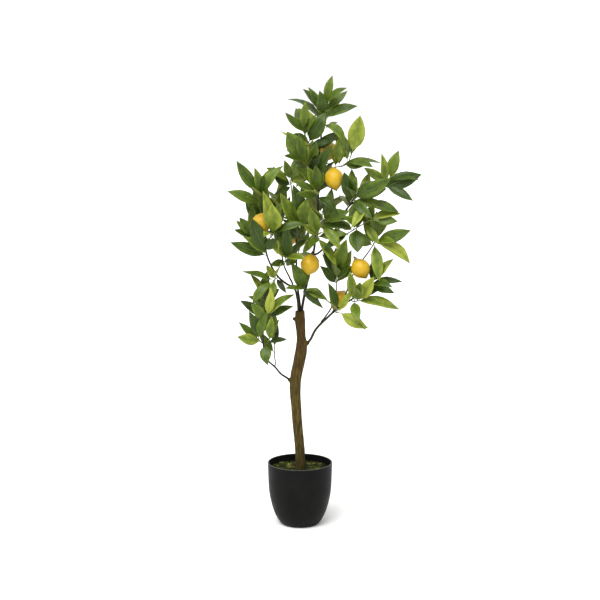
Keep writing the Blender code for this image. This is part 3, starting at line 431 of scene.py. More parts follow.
def waxed_leaf_upper():
    """A lemon leaf's upper side: waxy deep green, yellower when young and to its edges, its midrib sunken."""
    made, tree = new_material("waxed_leaf_upper", Roughness=0.38, Specular_IOR_Level=0.25)
    tone = add(tree, "Attribute", out="Fac", attribute_name="tone")
    flat = add(tree, "TexCoord", out="UV")
    along = add(tree, "SeparateXYZ", {0: flat}, out="Y")
    across = from_midrib(tree, flat)
    slanted = add(tree, "Math", {0: across, 1: -VEIN_SLANT, 2: along}, operation="MULTIPLY_ADD")
    wave = add(tree, "Math", {0: slanted, 1: VEIN_GAP}, operation="PINGPONG")
    vein = add(tree, "MapRange", {0: wave, 1: 0.0, 2: VEIN_WIDTH, 3: 1.0, 4: 0.0})
    rib = add(tree, "MapRange", {0: across, 1: RIB_HALF, 2: 0.035, 3: 1.0, 4: 0.0})
    place = add(tree, "TexCoord", out="Object")
    patch = add(tree, "TexNoise", {"Vector": place, "Scale": per_mm(14), "Detail": 4.0})
    young = add(tree, "Math", {0: across, 1: 0.4, 2: tone}, operation="MULTIPLY_ADD")
    greens = ((0.0, "#1b2905"), (1.0, "#929a36"), (0.35, "#2e430a"), (0.68, "#566916"))
    blade = mottled(tree, young, patch, -0.34, 0.21, greens)
    faint = add(tree, "Math", {0: vein, 1: 0.35}, operation="MULTIPLY")
    veined = add(tree, "Mix", {0: faint, 6: blade, 7: colour("#4d5f20")}, out=2, data_type="RGBA")
    clear = add(tree, "Math", {0: rib, 1: 0.6}, operation="MULTIPLY")
    ribbed = add(tree, "Mix", {0: clear, 6: veined, 7: colour("#5a6c2c")}, out=2, data_type="RGBA")
    hollow = add(tree, "Math", {0: vein, 1: 0.4, 2: rib}, operation="MULTIPLY_ADD")
    relief = add(tree, "Math", {0: hollow, 1: -1.7, 2: patch}, operation="MULTIPLY_ADD")
    return dressed(made, ribbed, relief, 0.3)


def matt_leaf_underside():
    """A lemon leaf's underside: duller, paler and greyer green, with a raised midrib."""
    made, tree = new_material("matt_leaf_underside", Roughness=0.62, Specular_IOR_Level=0.25)
    tone = add(tree, "Attribute", out="Fac", attribute_name="tone")
    across = from_midrib(tree, add(tree, "TexCoord", out="UV"))
    rib = add(tree, "MapRange", {0: across, 1: RIB_HALF, 2: 0.045, 3: 1.0, 4: 0.0})
    place = add(tree, "TexCoord", out="Object")
    patch = add(tree, "TexNoise", {"Vector": place, "Scale": per_mm(10), "Detail": 4.0})
    greens = ((0.0, "#344214"), (1.0, "#8b933c"), (0.5, "#525f22"))
    blade = mottled(tree, tone, patch, -0.2, 0.2, greens)
    clear = add(tree, "Math", {0: rib, 1: 0.6}, operation="MULTIPLY")
    ribbed = add(tree, "Mix", {0: clear, 6: blade, 7: colour("#8a9658")}, out=2, data_type="RGBA")
    relief = add(tree, "Math", {0: patch, 1: 0.3, 2: rib}, operation="MULTIPLY_ADD")
    return dressed(made, ribbed, relief, 0.4)


def stem_skin():
    """Branches and twigs: thin dark brown skin with fine long wrinkles, greener where the wood is young."""
    made, tree = new_material("stem_skin", Roughness=0.6, Specular_IOR_Level=0.25)
    tone = add(tree, "Attribute", out="Fac", attribute_name="tone")
    long_way = add(tree, "Mapping", {"Vector": add(tree, "TexCoord", out="Object"), "Scale": (1, 1, 1 / 4)})
    wrinkle = add(tree, "TexNoise", {"Vector": long_way, "Scale": per_mm(2.5), "Detail": 5.0})
    browns = ((0.0, "#1f1a0f"), (1.0, "#6b7928"), (0.35, "#2d2814"), (0.65, "#454e1b"))
    return dressed(made, mottled(tree, tone, wrinkle, -0.25, 0.25, browns), wrinkle, 0.4)


def furrowed_bark():
    """The trunk: rough brown bark with long shallow furrows, redder above its middle, darker at its foot."""
    made, tree = new_material("furrowed_bark", Roughness=0.88, Specular_IOR_Level=0.2)
    place = add(tree, "TexCoord", out="Object")
    height = add(tree, "SeparateXYZ", {0: place}, out="Z")
    long_way = add(tree, "Mapping", {"Vector": place, "Scale": (1, 1, 1 / 5)})
    furrow = add(tree, "TexNoise", {"Vector": long_way, "Scale": per_mm(5), "Detail": 8.0})
    patch = add(tree, "TexNoise", {"Vector": long_way, "Scale": per_mm(20), "Detail": 3.0})
    grit = add(tree, "TexNoise", {"Vector": place, "Scale": per_mm(1.2), "Detail": 4.0})
    wood = add(tree, "ValToRGB", {0: furrow}, stops=((0.3, "#261e09"), (0.72, "#5b4b20"), (0.5, "#403411")))
    upper = add(tree, "MapRange", {0: height, 1: RED_BARK[0], 2: RED_BARK[1], 3: 0.0, 4: 0.6})
    red_share = add(tree, "Math", {0: upper, 1: patch}, operation="MULTIPLY")
    redder = add(tree, "Mix", {0: red_share, 6: wood, 7: colour("#4a2816")}, out=2, data_type="RGBA")
    foot = add(tree, "MapRange", {0: height, 1: DARK_FOOT[0], 2: DARK_FOOT[1], 3: 0.6, 4: 0.0})
    darker = add(tree, "Mix", {0: foot, 6: redder, 7: colour("#2a260b")}, out=2, data_type="RGBA")
    mossy = add(tree, "MapRange", {0: patch, 1: 0.5, 2: 0.75, 3: 0.0, 4: 0.5})
    greener = add(tree, "Mix", {0: mossy, 6: darker, 7: colour("#3d3915")}, out=2, data_type="RGBA")
    relief = add(tree, "Math", {0: grit, 1: 0.35, 2: furrow}, operation="MULTIPLY_ADD")
    return dressed(made, greener, relief, 1.4, strength=0.8)


def lemon_peel():
    """Ripe lemon peel: satin wax over fine oil pits, warm yellow, greener at the calyx and the nipple."""
    made, tree = new_material("lemon_peel", Roughness=0.42, Specular_IOR_Level=0.35, Subsurface_Weight=0.1,
                              Subsurface_Scale=0.004, Subsurface_Radius=(1.0, 0.6, 0.15))
    place = add(tree, "TexCoord", out="Object")
    patch = add(tree, "TexNoise", {"Vector": place, "Scale": per_mm(18), "Detail": 2.0})
    rind = add(tree, "ValToRGB", {0: patch}, stops=((0.3, "#ad8207"), (0.7, "#bd9f1a")))
    tone = add(tree, "Attribute", out="Fac", attribute_name="tone")
    end_to_end = ((0.0, "#6b6614"), (1.0, "#5c6016"), (0.1, "#9c7d10"), (0.2, "#b3910f"), (0.8, "#b3910f"),
                  (0.94, "#8c7916"))
    ends = add(tree, "ValToRGB", {0: tone}, stops=end_to_end)
    skin = add(tree, "Mix", {0: 0.55, 6: rind, 7: ends}, out=2, data_type="RGBA")
    pit = add(tree, "TexVoronoi", {"Vector": place, "Scale": per_mm(1.6)}, out="Distance")
    return dressed(made, skin, pit, 0.25, strength=0.35)


def matt_moulded_plastic():
    """The pot: charcoal polypropylene with a fine moulded grain, a little scuffed, with a painted highlight
    along its lip.
    """
    made, tree = new_material("matt_moulded_plastic", Roughness=0.5, Specular_IOR_Level=0.08)
    place = add(tree, "TexCoord", out="Object")
    grain = add(tree, "TexNoise", {"Vector": place, "Scale": per_mm(0.9), "Detail": 3.0})
    scuff = add(tree, "TexNoise", {"Vector": place, "Scale": per_mm(30), "Detail": 6.0})
    plastic = add(tree, "ValToRGB", {0: scuff}, stops=((0.35, "#0a0b0a"), (0.75, "#121311")))
    height = add(tree, "SeparateXYZ", {0: place}, out="Z")
    # Painted highlight: a pale grey band mixed into the colour along the lip.
    lip = add(tree, "MapRange", {0: height, 1: LIP_HIGHLIGHT_FROM[0], 2: LIP_HIGHLIGHT_FROM[1], 3: 0.0, 4: 0.8})
    lip_highlighted = add(tree, "Mix", {0: lip, 6: plastic, 7: colour("#50524f")}, out=2, data_type="RGBA")
    rough = add(tree, "MapRange", {0: scuff, 1: 0.3, 2: 0.7, 3: 0.42, 4: 0.58})
    tree.links.new(rough, tree.nodes["Principled BSDF"].inputs["Roughness"])
    return dressed(made, lip_highlighted, grain, 0.15, strength=0.4)


def dry_moss():
    """Dry cushion moss: matt threads from straw to yellow-green over a dark brown-green bed."""
    made, tree = new_material("dry_moss", Roughness=0.95, Specular_IOR_Level=0.15)
    tone = add(tree, "Attribute", out="Fac", attribute_name="tone")
    place = add(tree, "TexCoord", out="Object")
    patch = add(tree, "TexNoise", {"Vector": place, "Scale": per_mm(4), "Detail": 5.0})
    greens = ((0.0, "#12130a"), (1.0, "#9a9458"), (0.35, "#2b310d"), (0.68, "#525a20"))
    return dressed(made, mottled(tree, tone, patch, -0.45, 0.45, greens), patch, 1.5)


def gritty_fill():
    """The fill under the moss: dark cast grit."""
    made, tree = new_material("gritty_fill", Roughness=0.95)
    place = add(tree, "TexCoord", out="Object")
    grit = add(tree, "TexNoise", {"Vector": place, "Scale": per_mm(3), "Detail": 6.0})
    browns = ((0.35, "#2a221a"), (0.7, "#5a4a38"))
    return dressed(made, add(tree, "ValToRGB", {0: grit}, stops=browns), grit, 1.5)


LEAF_UPPER = waxed_leaf_upper()
LEAF_UNDER = matt_leaf_underside()
STEM = stem_skin()
BARK = furrowed_bark()
PEEL = lemon_peel()
PLASTIC = matt_moulded_plastic()
MOSS = dry_moss()
FILL = gritty_fill()

# ---------------------------------------------------------------- small workshop tools

DOUBLES = 0.01 * MM
SHARP_EDGE = math.radians(50)


def alone(piece):
    """Makes this the only selected object, and the active one."""
    bpy.ops.object.select_all(action="DESELECT")
    piece.select_set(True)
    bpy.context.view_layer.objects.active = piece


def pick(test):
    """In edit mode, selects the vertices whose place passes the test, and nothing else."""
    shape = bmesh.from_edit_mesh(bpy.context.object.data)
    for vertex in shape.verts:
        vertex.select_set(bool(test(vertex.co)))
    shape.select_flush_mode()
    bmesh.update_edit_mesh(bpy.context.object.data)


def open_all():
    """Opens the active piece in edit mode, with all of it selected."""
    bpy.ops.object.mode_set(mode="EDIT")
    bpy.ops.mesh.select_all(action="SELECT")


def close_outwards():
    """Turns every face of the open piece outwards and leaves edit mode."""
    bpy.ops.mesh.select_all(action="SELECT")
    bpy.ops.mesh.normals_make_consistent(inside=False)
    bpy.ops.object.mode_set(mode="OBJECT")


def next_ring(rise, grow, height):
    """Extrudes the selected ring up by rise to height, in centimetres, and makes it grow times as wide."""
    bpy.ops.mesh.extrude_region_move(TRANSFORM_OT_translate={"value": (0, 0, rise * CM)})
    bpy.ops.transform.resize(value=(grow, grow, 1), center_override=(0, 0, height * CM))


def applied(piece, kind, **settings):
    """Adds a modifier with these settings and applies it."""
    alone(piece)
    change = piece.modifiers.new(kind.title(), kind)
    for name, value in settings.items():
        setattr(change, name, value)
    bpy.ops.object.modifier_apply(modifier=change.name)


def joined(name, pieces):
    """The pieces as one object of that name, at the origin and unturned."""
    alone(pieces[0])
    for piece in pieces:
        piece.select_set(True)
    if len(pieces) > 1:
        bpy.ops.object.join()
    bpy.ops.object.transform_apply(location=True, rotation=True, scale=True)
    pieces[0].name = pieces[0].data.name = name
    return pieces[0]


def coated(piece, *materials):
    """Gives the piece these materials and no others."""
    piece.data.materials.clear()
    for material in materials:
        piece.data.materials.append(material)


def copied(blank):
    """A copy of a blank, with a mesh of its own."""
    copy = bpy.data.objects.new(blank.name, blank.data.copy())
    bpy.context.scene.collection.objects.link(copy)
    return copy


def points_of(piece):
    found = np.empty(len(piece.data.vertices) * 3)
    piece.data.vertices.foreach_get("co", found)
    return found.reshape(-1, 3)


def move_points(piece, places):
    piece.data.vertices.foreach_set("co", np.asarray(places, dtype=float).ravel())
    piece.data.update()


def set_tone(piece, tones):
    """Writes the tone attribute that the materials read: one value, or one for each point."""
    layer = piece.data.attributes.get("tone") or piece.data.attributes.new("tone", "FLOAT", "POINT")
    layer.data.foreach_set("value", np.broadcast_to(tones, len(piece.data.vertices)).astype(float))


def rod(name, points, radii, sides, steps):
    """A round tapering stem along the points: drawn as a smooth curve, given its thickness, made a mesh."""
    bpy.ops.curve.primitive_bezier_curve_add(enter_editmode=False, location=(0, 0, 0))
    piece = bpy.context.object
    line = piece.data
    line.splines.clear()
    spline = line.splines.new("BEZIER")
    spline.bezier_points.add(len(points) - 1)
    for knot, point, radius in zip(spline.bezier_points, points, radii):
        knot.co = Vector(point) * CM
        knot.radius = radius * CM
        knot.handle_left_type = knot.handle_right_type = "AUTO"
    line.dimensions = "3D"
    line.bevel_depth = 1
    line.bevel_resolution = (sides - 4) // 2
    line.resolution_u = steps
    line.use_fill_caps = True
    alone(piece)
    bpy.ops.object.convert(target="MESH")
    piece = bpy.context.object
    piece.name = piece.data.name = name
    open_all()
    bpy.ops.mesh.remove_doubles(threshold=DOUBLES)
    close_outwards()
    piece.data.shade_smooth()
    piece.data.set_sharp_from_angle(angle=SHARP_EDGE)
    return piece


def toned_along(piece, line, first, last):
    """Gives a stem a tone that runs from first to last between the ends of its line."""
    start, run = np.array(line[0]) * CM, (np.array(line[-1]) - np.array(line[0])) * CM
    share = np.clip((points_of(piece) - start) @ run / (run @ run), 0, 1)
    set_tone(piece, first + (last - first) * share)


def roughened(piece, size_mm, depth_mm, stretch=1.0, octaves=3, keep=None):
    """Moves each point out or in along its normal by noise of that size, less where keep says 0."""
    places = points_of(piece)
    normals = np.array([vertex.normal for vertex in piece.data.vertices])
    scale = 1 / (size_mm * MM)
    heights = [noise.fractal(Vector((x, y, z / stretch)) * scale, 1.0, 2.0, octaves) for x, y, z in places]
    share = np.ones(len(places)) if keep is None else keep(places)
    move_points(piece, places + normals * (np.array(heights) * share * depth_mm * MM)[:, None])


def stands_for(piece, node):
    """The finished piece takes the place of its CAD node, and moves with the one body."""
    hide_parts(node)
    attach(piece, ROOT)


def tapered(first, last, count):
    return [first + (last - first) * i / (count - 1) for i in range(count)]


# ---------------------------------------------------------------- the pot, its fill and its moss

POT_HEIGHT = 16.0
POT_WALL = 0.28
POT_FLOOR = 0.6
POT_SIDE = ((4.5, 0), (5.2, 0.4), (6.1, 1.9), (6.8, 3.5), (7.45, 5.8), (7.9, 8.1), (8.1, 11.1), (8.2, 15.8))
POT_SEGMENTS = 64
LIP_ROUND = 0.05
MOSS_BED = 13.26
MOSS_EDGE = 7.86
MOSS_HOLE = TRUNK[0][3] + 0.05
MOSS_SEGMENTS = 96
MOSS_RINGS = 22
MOSS_HEIGHT = 0.95
MOSS_THICK = 0.4
EDGE_ROLL = 0.9  # how far in from its edge the moss rises
LUMP_SCALE = 0.9
LUMP_HEIGHT = 0.2
BED_TONE = 0.12
TUFTS = 1300
TUFTS_FROM = MOSS_HOLE + 0.05
TUFTS_SPAN = MOSS_EDGE - MOSS_HOLE - 0.25
TUFT_SIZES = (0.6, 1.25)
TUFT_LEAN = 0.9
TUFT_SUNK = 0.08
TUFT_TONE = 0.42
TUFT_TONE_SPREAD = 0.16
PATCH_SCALE = 0.55
PATCH_TONE = 0.75
# Threads of a tuft: the way each leans, how far in degrees, and how tall it is.
THREADS = ((0, 25, 0.55), (125, 45, 0.6), (245, 10, 0.45))
THREAD_RADIUS = 0.055
# A thread's two steps, as shares of its height: up, then to the side, and how much thinner it gets.
THREAD_STEPS = ((0.5, 0.1, 0.75), (0.5, 0.35, 0.1))


def drawn_up(name, segments, radius, rings):
    """A turned piece: a filled circle at height 0, extruded ring by ring through (radius, height) places."""
    bpy.ops.mesh.primitive_circle_add(vertices=segments, radius=radius * CM, fill_type="NGON")
    piece = bpy.context.object
    piece.name = piece.data.name = name
    open_all()
    height = 0
    for wide, place in rings:
        next_ring(place - height, wide / radius, place)
        radius, height = wide, place
    close_outwards()
    return piece


def made_pot():
    top, wide = POT_HEIGHT, POT_SIDE[-1][0]
    lip = [(wide, top - LIP_ROUND), (wide - LIP_ROUND, top), (wide - POT_WALL + LIP_ROUND, top),
           (wide - POT_WALL, top - LIP_ROUND)]
    inside = [(radius - POT_WALL, height) for radius, height in reversed(POT_SIDE) if height > POT_FLOOR]
    floor = [(5.0, POT_FLOOR + 0.06), (4.6, POT_FLOOR)]
    piece = drawn_up("pot_shell", POT_SEGMENTS, POT_SIDE[0][0] - 0.1, [*POT_SIDE, *lip, *inside, *floor])
    applied(piece, "SUBSURF", levels=2, render_levels=2)
    piece.data.shade_smooth()
    coated(piece, PLASTIC)
    stands_for(piece, "pot")


def moss_height(x, y):
    """Height of the moss above its bed, in centimetres, at a place in centimetres."""
    out = math.hypot(x, y)
    edge = min(1, max(0, (MOSS_EDGE - out) / EDGE_ROLL)) ** 0.5
    lumps = noise.fractal(Vector((x * LUMP_SCALE, y * LUMP_SCALE, 3)), 1.0, 2.0, 4)
    return MOSS_HEIGHT * (0.55 + 0.45 * edge) + LUMP_HEIGHT * lumps


def moss_bed():
    """The bed: a filled disc with a hole for the trunk, cut fine, lumped on top and given its thickness."""
    bpy.ops.mesh.primitive_circle_add(
        vertices=MOSS_SEGMENTS, radius=MOSS_HOLE * CM, location=(0, 0, MOSS_BED * CM),
    )
    piece = bpy.context.object
    bpy.ops.object.transform_apply(location=True, rotation=True, scale=True)
    open_all()
    radius = MOSS_HOLE
    for ring in range(1, MOSS_RINGS + 1):
        wide = MOSS_HOLE + (MOSS_EDGE - MOSS_HOLE) * ring / MOSS_RINGS
        next_ring(0, wide / radius, MOSS_BED)
        radius = wide
    bpy.ops.object.mode_set(mode="OBJECT")
    lifted = [(x, y, MOSS_BED * CM + moss_height(x / CM, y / CM) * CM) for x, y, _ in points_of(piece)]
    move_points(piece, lifted)
    alone(piece)
    open_all()
    close_outwards()
    if piece.data.polygons[0].normal.z < 0:
        piece.data.flip_normals()
    applied(piece, "SOLIDIFY", thickness=MOSS_THICK * CM, offset=-1)
    set_tone(piece, BED_TONE)
    return piece


def moss_tuft():
    """One tuft: three threads from one root, each drawn up in two steps that bend over and thin out."""
    threads = []
    for turn, lean, tall in THREADS:
        bpy.ops.mesh.primitive_circle_add(vertices=3, radius=THREAD_RADIUS * CM, fill_type="NGON")
        thread = bpy.context.object
        open_all()
        for rise, side, thin in THREAD_STEPS:
            step = (side * tall * CM, 0, rise * tall * CM)
            bpy.ops.mesh.extrude_region_move(TRANSFORM_OT_translate={"value": step})
            bpy.ops.transform.resize(value=(thin, thin, 1))
        close_outwards()
        leant = Matrix.Rotation(math.radians(lean), 4, "Y")
        thread.data.transform(Matrix.Rotation(math.radians(turn), 4, "Z") @ leant)
        threads.append(thread)
    return joined("tuft", threads)


def made_moss():
    draw = random.Random(RANDOM_SEED)
    parts = [moss_bed()]
    master = moss_tuft()
    shape = points_of(master)
    for _ in range(TUFTS):
        out = TUFTS_FROM + TUFTS_SPAN * math.sqrt(draw.random())
        around = draw.uniform(0, 2 * math.pi)
        x, y = out * math.cos(around), out * math.sin(around)
        tuft = copied(master)
        turn, size = draw.uniform(0, 2 * math.pi), draw.uniform(*TUFT_SIZES)
        lean = Matrix.Rotation(draw.uniform(-TUFT_LEAN, TUFT_LEAN), 3, "X")
        lean = lean @ Matrix.Rotation(turn, 3, "Z") * size
        root = np.array((x, y, MOSS_BED + moss_height(x, y) - TUFT_SUNK)) * CM
        move_points(tuft, shape @ np.array(lean).T + root)
        patch = noise.noise(Vector((x * PATCH_SCALE, y * PATCH_SCALE, 7)))
        tone = TUFT_TONE + PATCH_TONE * patch + draw.gauss(0, TUFT_TONE_SPREAD)
        set_tone(tuft, min(1, max(0, tone)))
        parts.append(tuft)
    bpy.data.objects.remove(master)
    piece = joined("moss_cushion", parts)
    coated(piece, MOSS)
    stands_for(piece, "moss")


def finish_fill():
    """The fill's CAD shape is right, and only takes its finish."""
    coated(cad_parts["soil"], FILL)


# ---------------------------------------------------------------- the trunk and the branches

TRUNK_TOP = TRUNK[-1][2]
# Knots: how far round to the side each looks, its height and its size.
KNOTS = (
    (-0.9, 20, 0.5), (0.8, 27, 0.45), (-0.6, 31, 0.5), (0.7, 38.5, 0.55), (-0.9, 43.5, 0.5), (0.6, 50.5, 0.4),
)
KNOT_FRONT = -0.8
KNOT_ROOT = 0.5
KNOT_STANDS = 0.25
KNOT_TAPER = (1.5, 0.7)
BARK_FROM = 14.2
BARK_FULL_OVER = 1.5
BARK_GRAIN = 1.1
# Bark and stem skin: how many millimetres their lumps measure across, and how deep they are.
FURROWS = (14, 0.55)
FLAKES = (4, 0.45)
STEM_WRINKLES = (3, 0.25)
BRANCH_TONES = (0.05, 0.4)


def above_the_moss(places):
    """How much of its roughness each place on the trunk gets: none in the fill, and all a little above it."""
    return np.clip((places[:, 2] / CM - BARK_FROM) / BARK_FULL_OVER, 0, 1)


def made_trunk():
    line = [row[:3] for row in TRUNK]
    trunk = rod("trunk_bark", line, [row[3] for row in TRUNK], sides=44, steps=9)
    stubs = [rod("stub", (low, high), (wide, slim), sides=20, steps=8) for low, high, wide, slim in STUBS]
    for side, height, size in KNOTS:
        share = (height - line[0][2]) / (TRUNK_TOP - line[0][2])
        middle = point_along([Vector(point) for point in line], share)
        out = Vector((side, KNOT_FRONT, 0)).normalized()
        low, high = middle + out * KNOT_ROOT, middle + out * (TRUNK[0][3] + size * KNOT_STANDS)
        stubs.append(rod("knot", (low, high), [size * wide for wide in KNOT_TAPER], sides=16, steps=4))
    for stub in stubs:
        applied(trunk, "BOOLEAN", object=stub, operation="UNION", solver="EXACT")
        bpy.data.objects.remove(stub)
    applied(trunk, "REMESH", mode="VOXEL", voxel_size=BARK_GRAIN * MM)
    roughened(trunk, *FURROWS, stretch=3, keep=above_the_moss)
    roughened(trunk, *FLAKES, stretch=3.5, keep=above_the_moss)
    trunk.data.shade_smooth()
    coated(trunk, BARK)
    return trunk


def made_branches():
    """The branches, each a smooth stem, woody at its foot. Returns their lines and radii."""
    lines = {"trunk": ([row[:3] for row in TRUNK], [row[3] for row in TRUNK])}
    for name, (parent, first, last, line) in BRANCHES.items():
        radii = tapered(first, last, len(line))
        if parent != "trunk":
            line = placed_line(line, first, lines[parent])
        lines[name] = (line, radii)
        drawn = line if parent == "trunk" else rooted(line, lines[parent])
        piece = rod(name + "_stem", drawn, [first] * (len(drawn) - len(line)) + radii, sides=12, steps=8)
        roughened(piece, *STEM_WRINKLES, octaves=2)
        toned_along(piece, line, *BRANCH_TONES)
        coated(piece, STEM)
        stands_for(piece, name)
    return lines


# ---------------------------------------------------------------- leaves and shoots

# Leaf blank: along its length from the petiole to the tip, and how wide it is there.
LEAF_ROWS = (
    (0, 0.05), (0.06, 0.045), (0.1, 0.1), (0.18, 0.42), (0.29, 0.78), (0.42, 0.98), (0.56, 1.0), (0.7, 0.86),
    (0.83, 0.56), (0.93, 0.25), (1.0, 0.02),
)
LEAF_COLUMNS = 4
LEAF_THICK = 0.02
LEAF_FOLD = 0.09
FOLD_CURVE = 1.4
CURL_FROM = 0.6
CURL_REACH = 18.75
ASIDE = 10  # where a row waits while the others are drawn in
# Kinds of leaf: how far the fold lifts the edges, how deep they wave, how many waves, how far the tip curls.
LEAF_KINDS = (
    (1.0, 0.02, 3, -0.02), (1.6, 0.035, 4, 0.04), (0.5, 0.04, 3, -0.1), (1.3, 0.02, 2, 0.08),
    (0.9, 0.035, 5, -0.06),
)
# How far a leaf bends its own way: its twist in radians, its swing and extra arch as shares of its length.
MOST_TWIST = 0.5
MOST_SWING = 0.05
EXTRA_ARCH = (-0.02, 0.06)
SQUAREST = 0.97
# Tones: the middle and spread of ripe leaves and of young ones, the share of ripe ones, what tips gain.
RIPE_TONE = (0.32, 0.12)
YOUNG_TONE = (0.6, 0.1)
RIPE_SHARE = 0.76
TIP_TONE = 0.2
TWIG_TONES = (0.35, 0.85)


def leaf_blank(lift, wave, waves, curl):
    """A leaf 1 long and 1 wide: a grid whose rows are drawn in to the outline, then folded and thickened."""
    rows = len(LEAF_ROWS) - 1
    bpy.ops.mesh.primitive_grid_add(
        x_subdivisions=LEAF_COLUMNS, y_subdivisions=rows, size=1, location=(0, 0.5, 0),
    )
    blank = bpy.context.object
    bpy.ops.object.transform_apply(location=True, rotation=True, scale=True)
    unwrapped = blank.data.uv_layers.active.data
    for loop in blank.data.loops:
        place = blank.data.vertices[loop.vertex_index].co
        unwrapped[loop.index].uv = (place.x + 0.5, LEAF_ROWS[round(place.y * rows)][0])
    bpy.ops.object.mode_set(mode="EDIT")
    for i in reversed(range(rows + 1)):
        along, wide = LEAF_ROWS[i]
        pick(lambda place, at=i / rows: abs(place.y - at) < 0.01)
        bpy.ops.transform.resize(value=(wide, 1, 1), center_override=(0, i / rows, 0))
        bpy.ops.transform.translate(value=(0, ASIDE + along - i / rows, 0))
    bpy.ops.mesh.select_all(action="SELECT")
    bpy.ops.transform.translate(value=(0, -ASIDE, 0))
    bpy.ops.object.mode_set(mode="OBJECT")
    x, y, _ = points_of(blank).T
    full = np.interp(y, *zip(*LEAF_ROWS))
    edge = np.abs(x) * 2
    z = LEAF_FOLD * lift * edge ** FOLD_CURVE
    z += wave * edge * np.sin(2 * math.pi * waves * y + np.sign(x)) * full
    z += CURL_REACH * curl * np.clip(y - CURL_FROM, 0, 1) ** 2
    move_points(blank, np.stack([x, y, z], axis=1))
    coated(blank, LEAF_UPPER, LEAF_UNDER)
    applied(blank, "SOLIDIFY", thickness=LEAF_THICK, offset=-1, material_offset=1, material_offset_rim=1)
    blank.data.shade_smooth()
    return blank


def made_leaf(blank, shape, base, tip, seen, arch, draw):
    """A copy of a blank, from base to tip, turned as the CAD turns it, arched, and bent its own way."""
    along = tip - base
    length = along.length
    run = along.normalized()
    width = max(seen or 0, LEAF_SLIM * length)
    turn = min(seen / width, SQUAREST) if seen else PLAIN_TURN
    front = Vector((0, -1 if (base.y + tip.y) / 2 < BACK_FROM else 1, 0))
    upper = turn * (front - run * front.y * run.y)
    upper += math.sqrt(1 - turn * turn) * (Vector((0, 0, 1)) - run * run.z)
    upper = (upper - run * upper.dot(run)).normalized()
    side = run.cross(upper)
    x, y, z = shape.T
    twist = draw.uniform(-MOST_TWIST, MOST_TWIST) * y
    swing = draw.uniform(-MOST_SWING, MOST_SWING)
    bow = 4 * y * (1 - y) * length
    off_side = (x * np.cos(twist) - z * np.sin(twist)) * width + swing * bow
    off_upper = (x * np.sin(twist) + z * np.cos(twist)) * width + (arch + draw.uniform(*EXTRA_ARCH)) * bow
    places = np.outer(off_side, side) + np.outer(y * length, run) + np.outer(off_upper, upper)
    leaf = copied(blank)
    move_points(leaf, (places + np.array(base)) * CM)
    return leaf


def made_shoots(lines):
    draw = random.Random(RANDOM_SEED)
    blanks = [leaf_blank(*kind) for kind in LEAF_KINDS]
    shapes = [points_of(blank) for blank in blanks]
    for number, (name, (parent, line, leaves)) in enumerate(SHOOTS.items()):
        line = placed_line(line, TWIG_RADII[0], lines[parent])
        twig = rod("twig", rooted(line, lines[parent]), tapered(*TWIG_RADII, len(line) + 1), sides=8, steps=6)
        toned_along(twig, line, *TWIG_TONES)
        coated(twig, STEM)
        parts = [twig]
        points = cad_points(name)
        fillers = 0 if name.startswith(LOOSE_SHOOTS) else FILLERS
        for order, (base, chosen, seen, arch) in enumerate(wanted_leaves(line, leaves, number, fillers)):
            kind = draw.randrange(len(LEAF_KINDS))
            shade = draw.gauss(*RIPE_TONE) if draw.random() < RIPE_SHARE else draw.gauss(*YOUNG_TONE)
            tip = leaf_tip(points, base, chosen)
            if tip is None:
                continue
            leaf = made_leaf(blanks[kind], shapes[kind], base, tip, seen, arch, draw)
            set_tone(leaf, shade + TIP_TONE * min(order, len(leaves) - 1) / (len(leaves) - 1))
            parts.append(leaf)
        shoot = joined(name + "_leaves", parts)
        stands_for(shoot, name)
    for blank in blanks:
        bpy.data.objects.remove(blank)


# ---------------------------------------------------------------- lemons

LEMON_RINGS = 22
LEMON_SEGMENTS = 32
NIPPLE_TIP = (0.012, 0.1)
CALYX_END = (1.0, 0.16)
NECK = 0.5
CROOK_RISE = 0.15
STALK_TONE = 0.55
# Lemon skin: how many millimetres its dents and its pits measure across, and how deep they are.
DENTS = (22, 0.7)
PITS = (5, 0.12)
CALYX_SEGMENTS = 20
CALYX_RADIUS = 0.3
CALYX_RINGS = ((0.21, 0.08), (0.0945, 0.2))
CALYX_POINTS = 5
POINT_REACH = 0.35
CALYX_TONE = 0.75
CALYX_SUNK = 0.05


def lemon_blank():
    """A lemon as long as 1 up Z from its nipple: a sphere whose rings are drawn in or out to the outline."""
    bpy.ops.mesh.primitive_uv_sphere_add(segments=LEMON_SEGMENTS, ring_count=LEMON_RINGS, radius=0.5,
                                         location=(0, 0, 0.5))
    blank = bpy.context.object
    bpy.ops.object.transform_apply(location=True, rotation=True, scale=True)
    shares, widths = zip(*((0, 0.0), NIPPLE_TIP, *LEMON_OUTLINE[1:], CALYX_END))
    heights = sorted({round(place[2], 5) for place in points_of(blank)})
    bpy.ops.object.mode_set(mode="EDIT")
    for height in heights[1:-1]:
        now = math.sqrt(0.25 - (height - 0.5) ** 2)
        wanted = np.interp(height, shares, widths) * LEMON_RADIUS / LEMON_LENGTH
        pick(lambda place, at=height: abs(place.z - at) < 0.0005)
        bpy.ops.transform.resize(value=(wanted / now, wanted / now, 1), center_override=(0, 0, height))
    bpy.ops.object.mode_set(mode="OBJECT")
    applied(blank, "SMOOTH", factor=0.5, iterations=2)
    blank.data.shade_smooth()
    coated(blank, PEEL)
    return blank


def calyx_blank():
    """The green star where the stalk meets the fruit: a disc with five drawn-out points."""
    blank = drawn_up("calyx", CALYX_SEGMENTS, CALYX_RADIUS, CALYX_RINGS)
    x, y, z = points_of(blank).T
    points = 1 + POINT_REACH * np.cos(CALYX_POINTS * np.arctan2(y, x)) * (z < 0.01 * CM)
    move_points(blank, np.stack([x * points, y * points, z], axis=1))
    blank.data.shade_smooth()
    coated(blank, STEM)
    set_tone(blank, CALYX_TONE)
    return blank


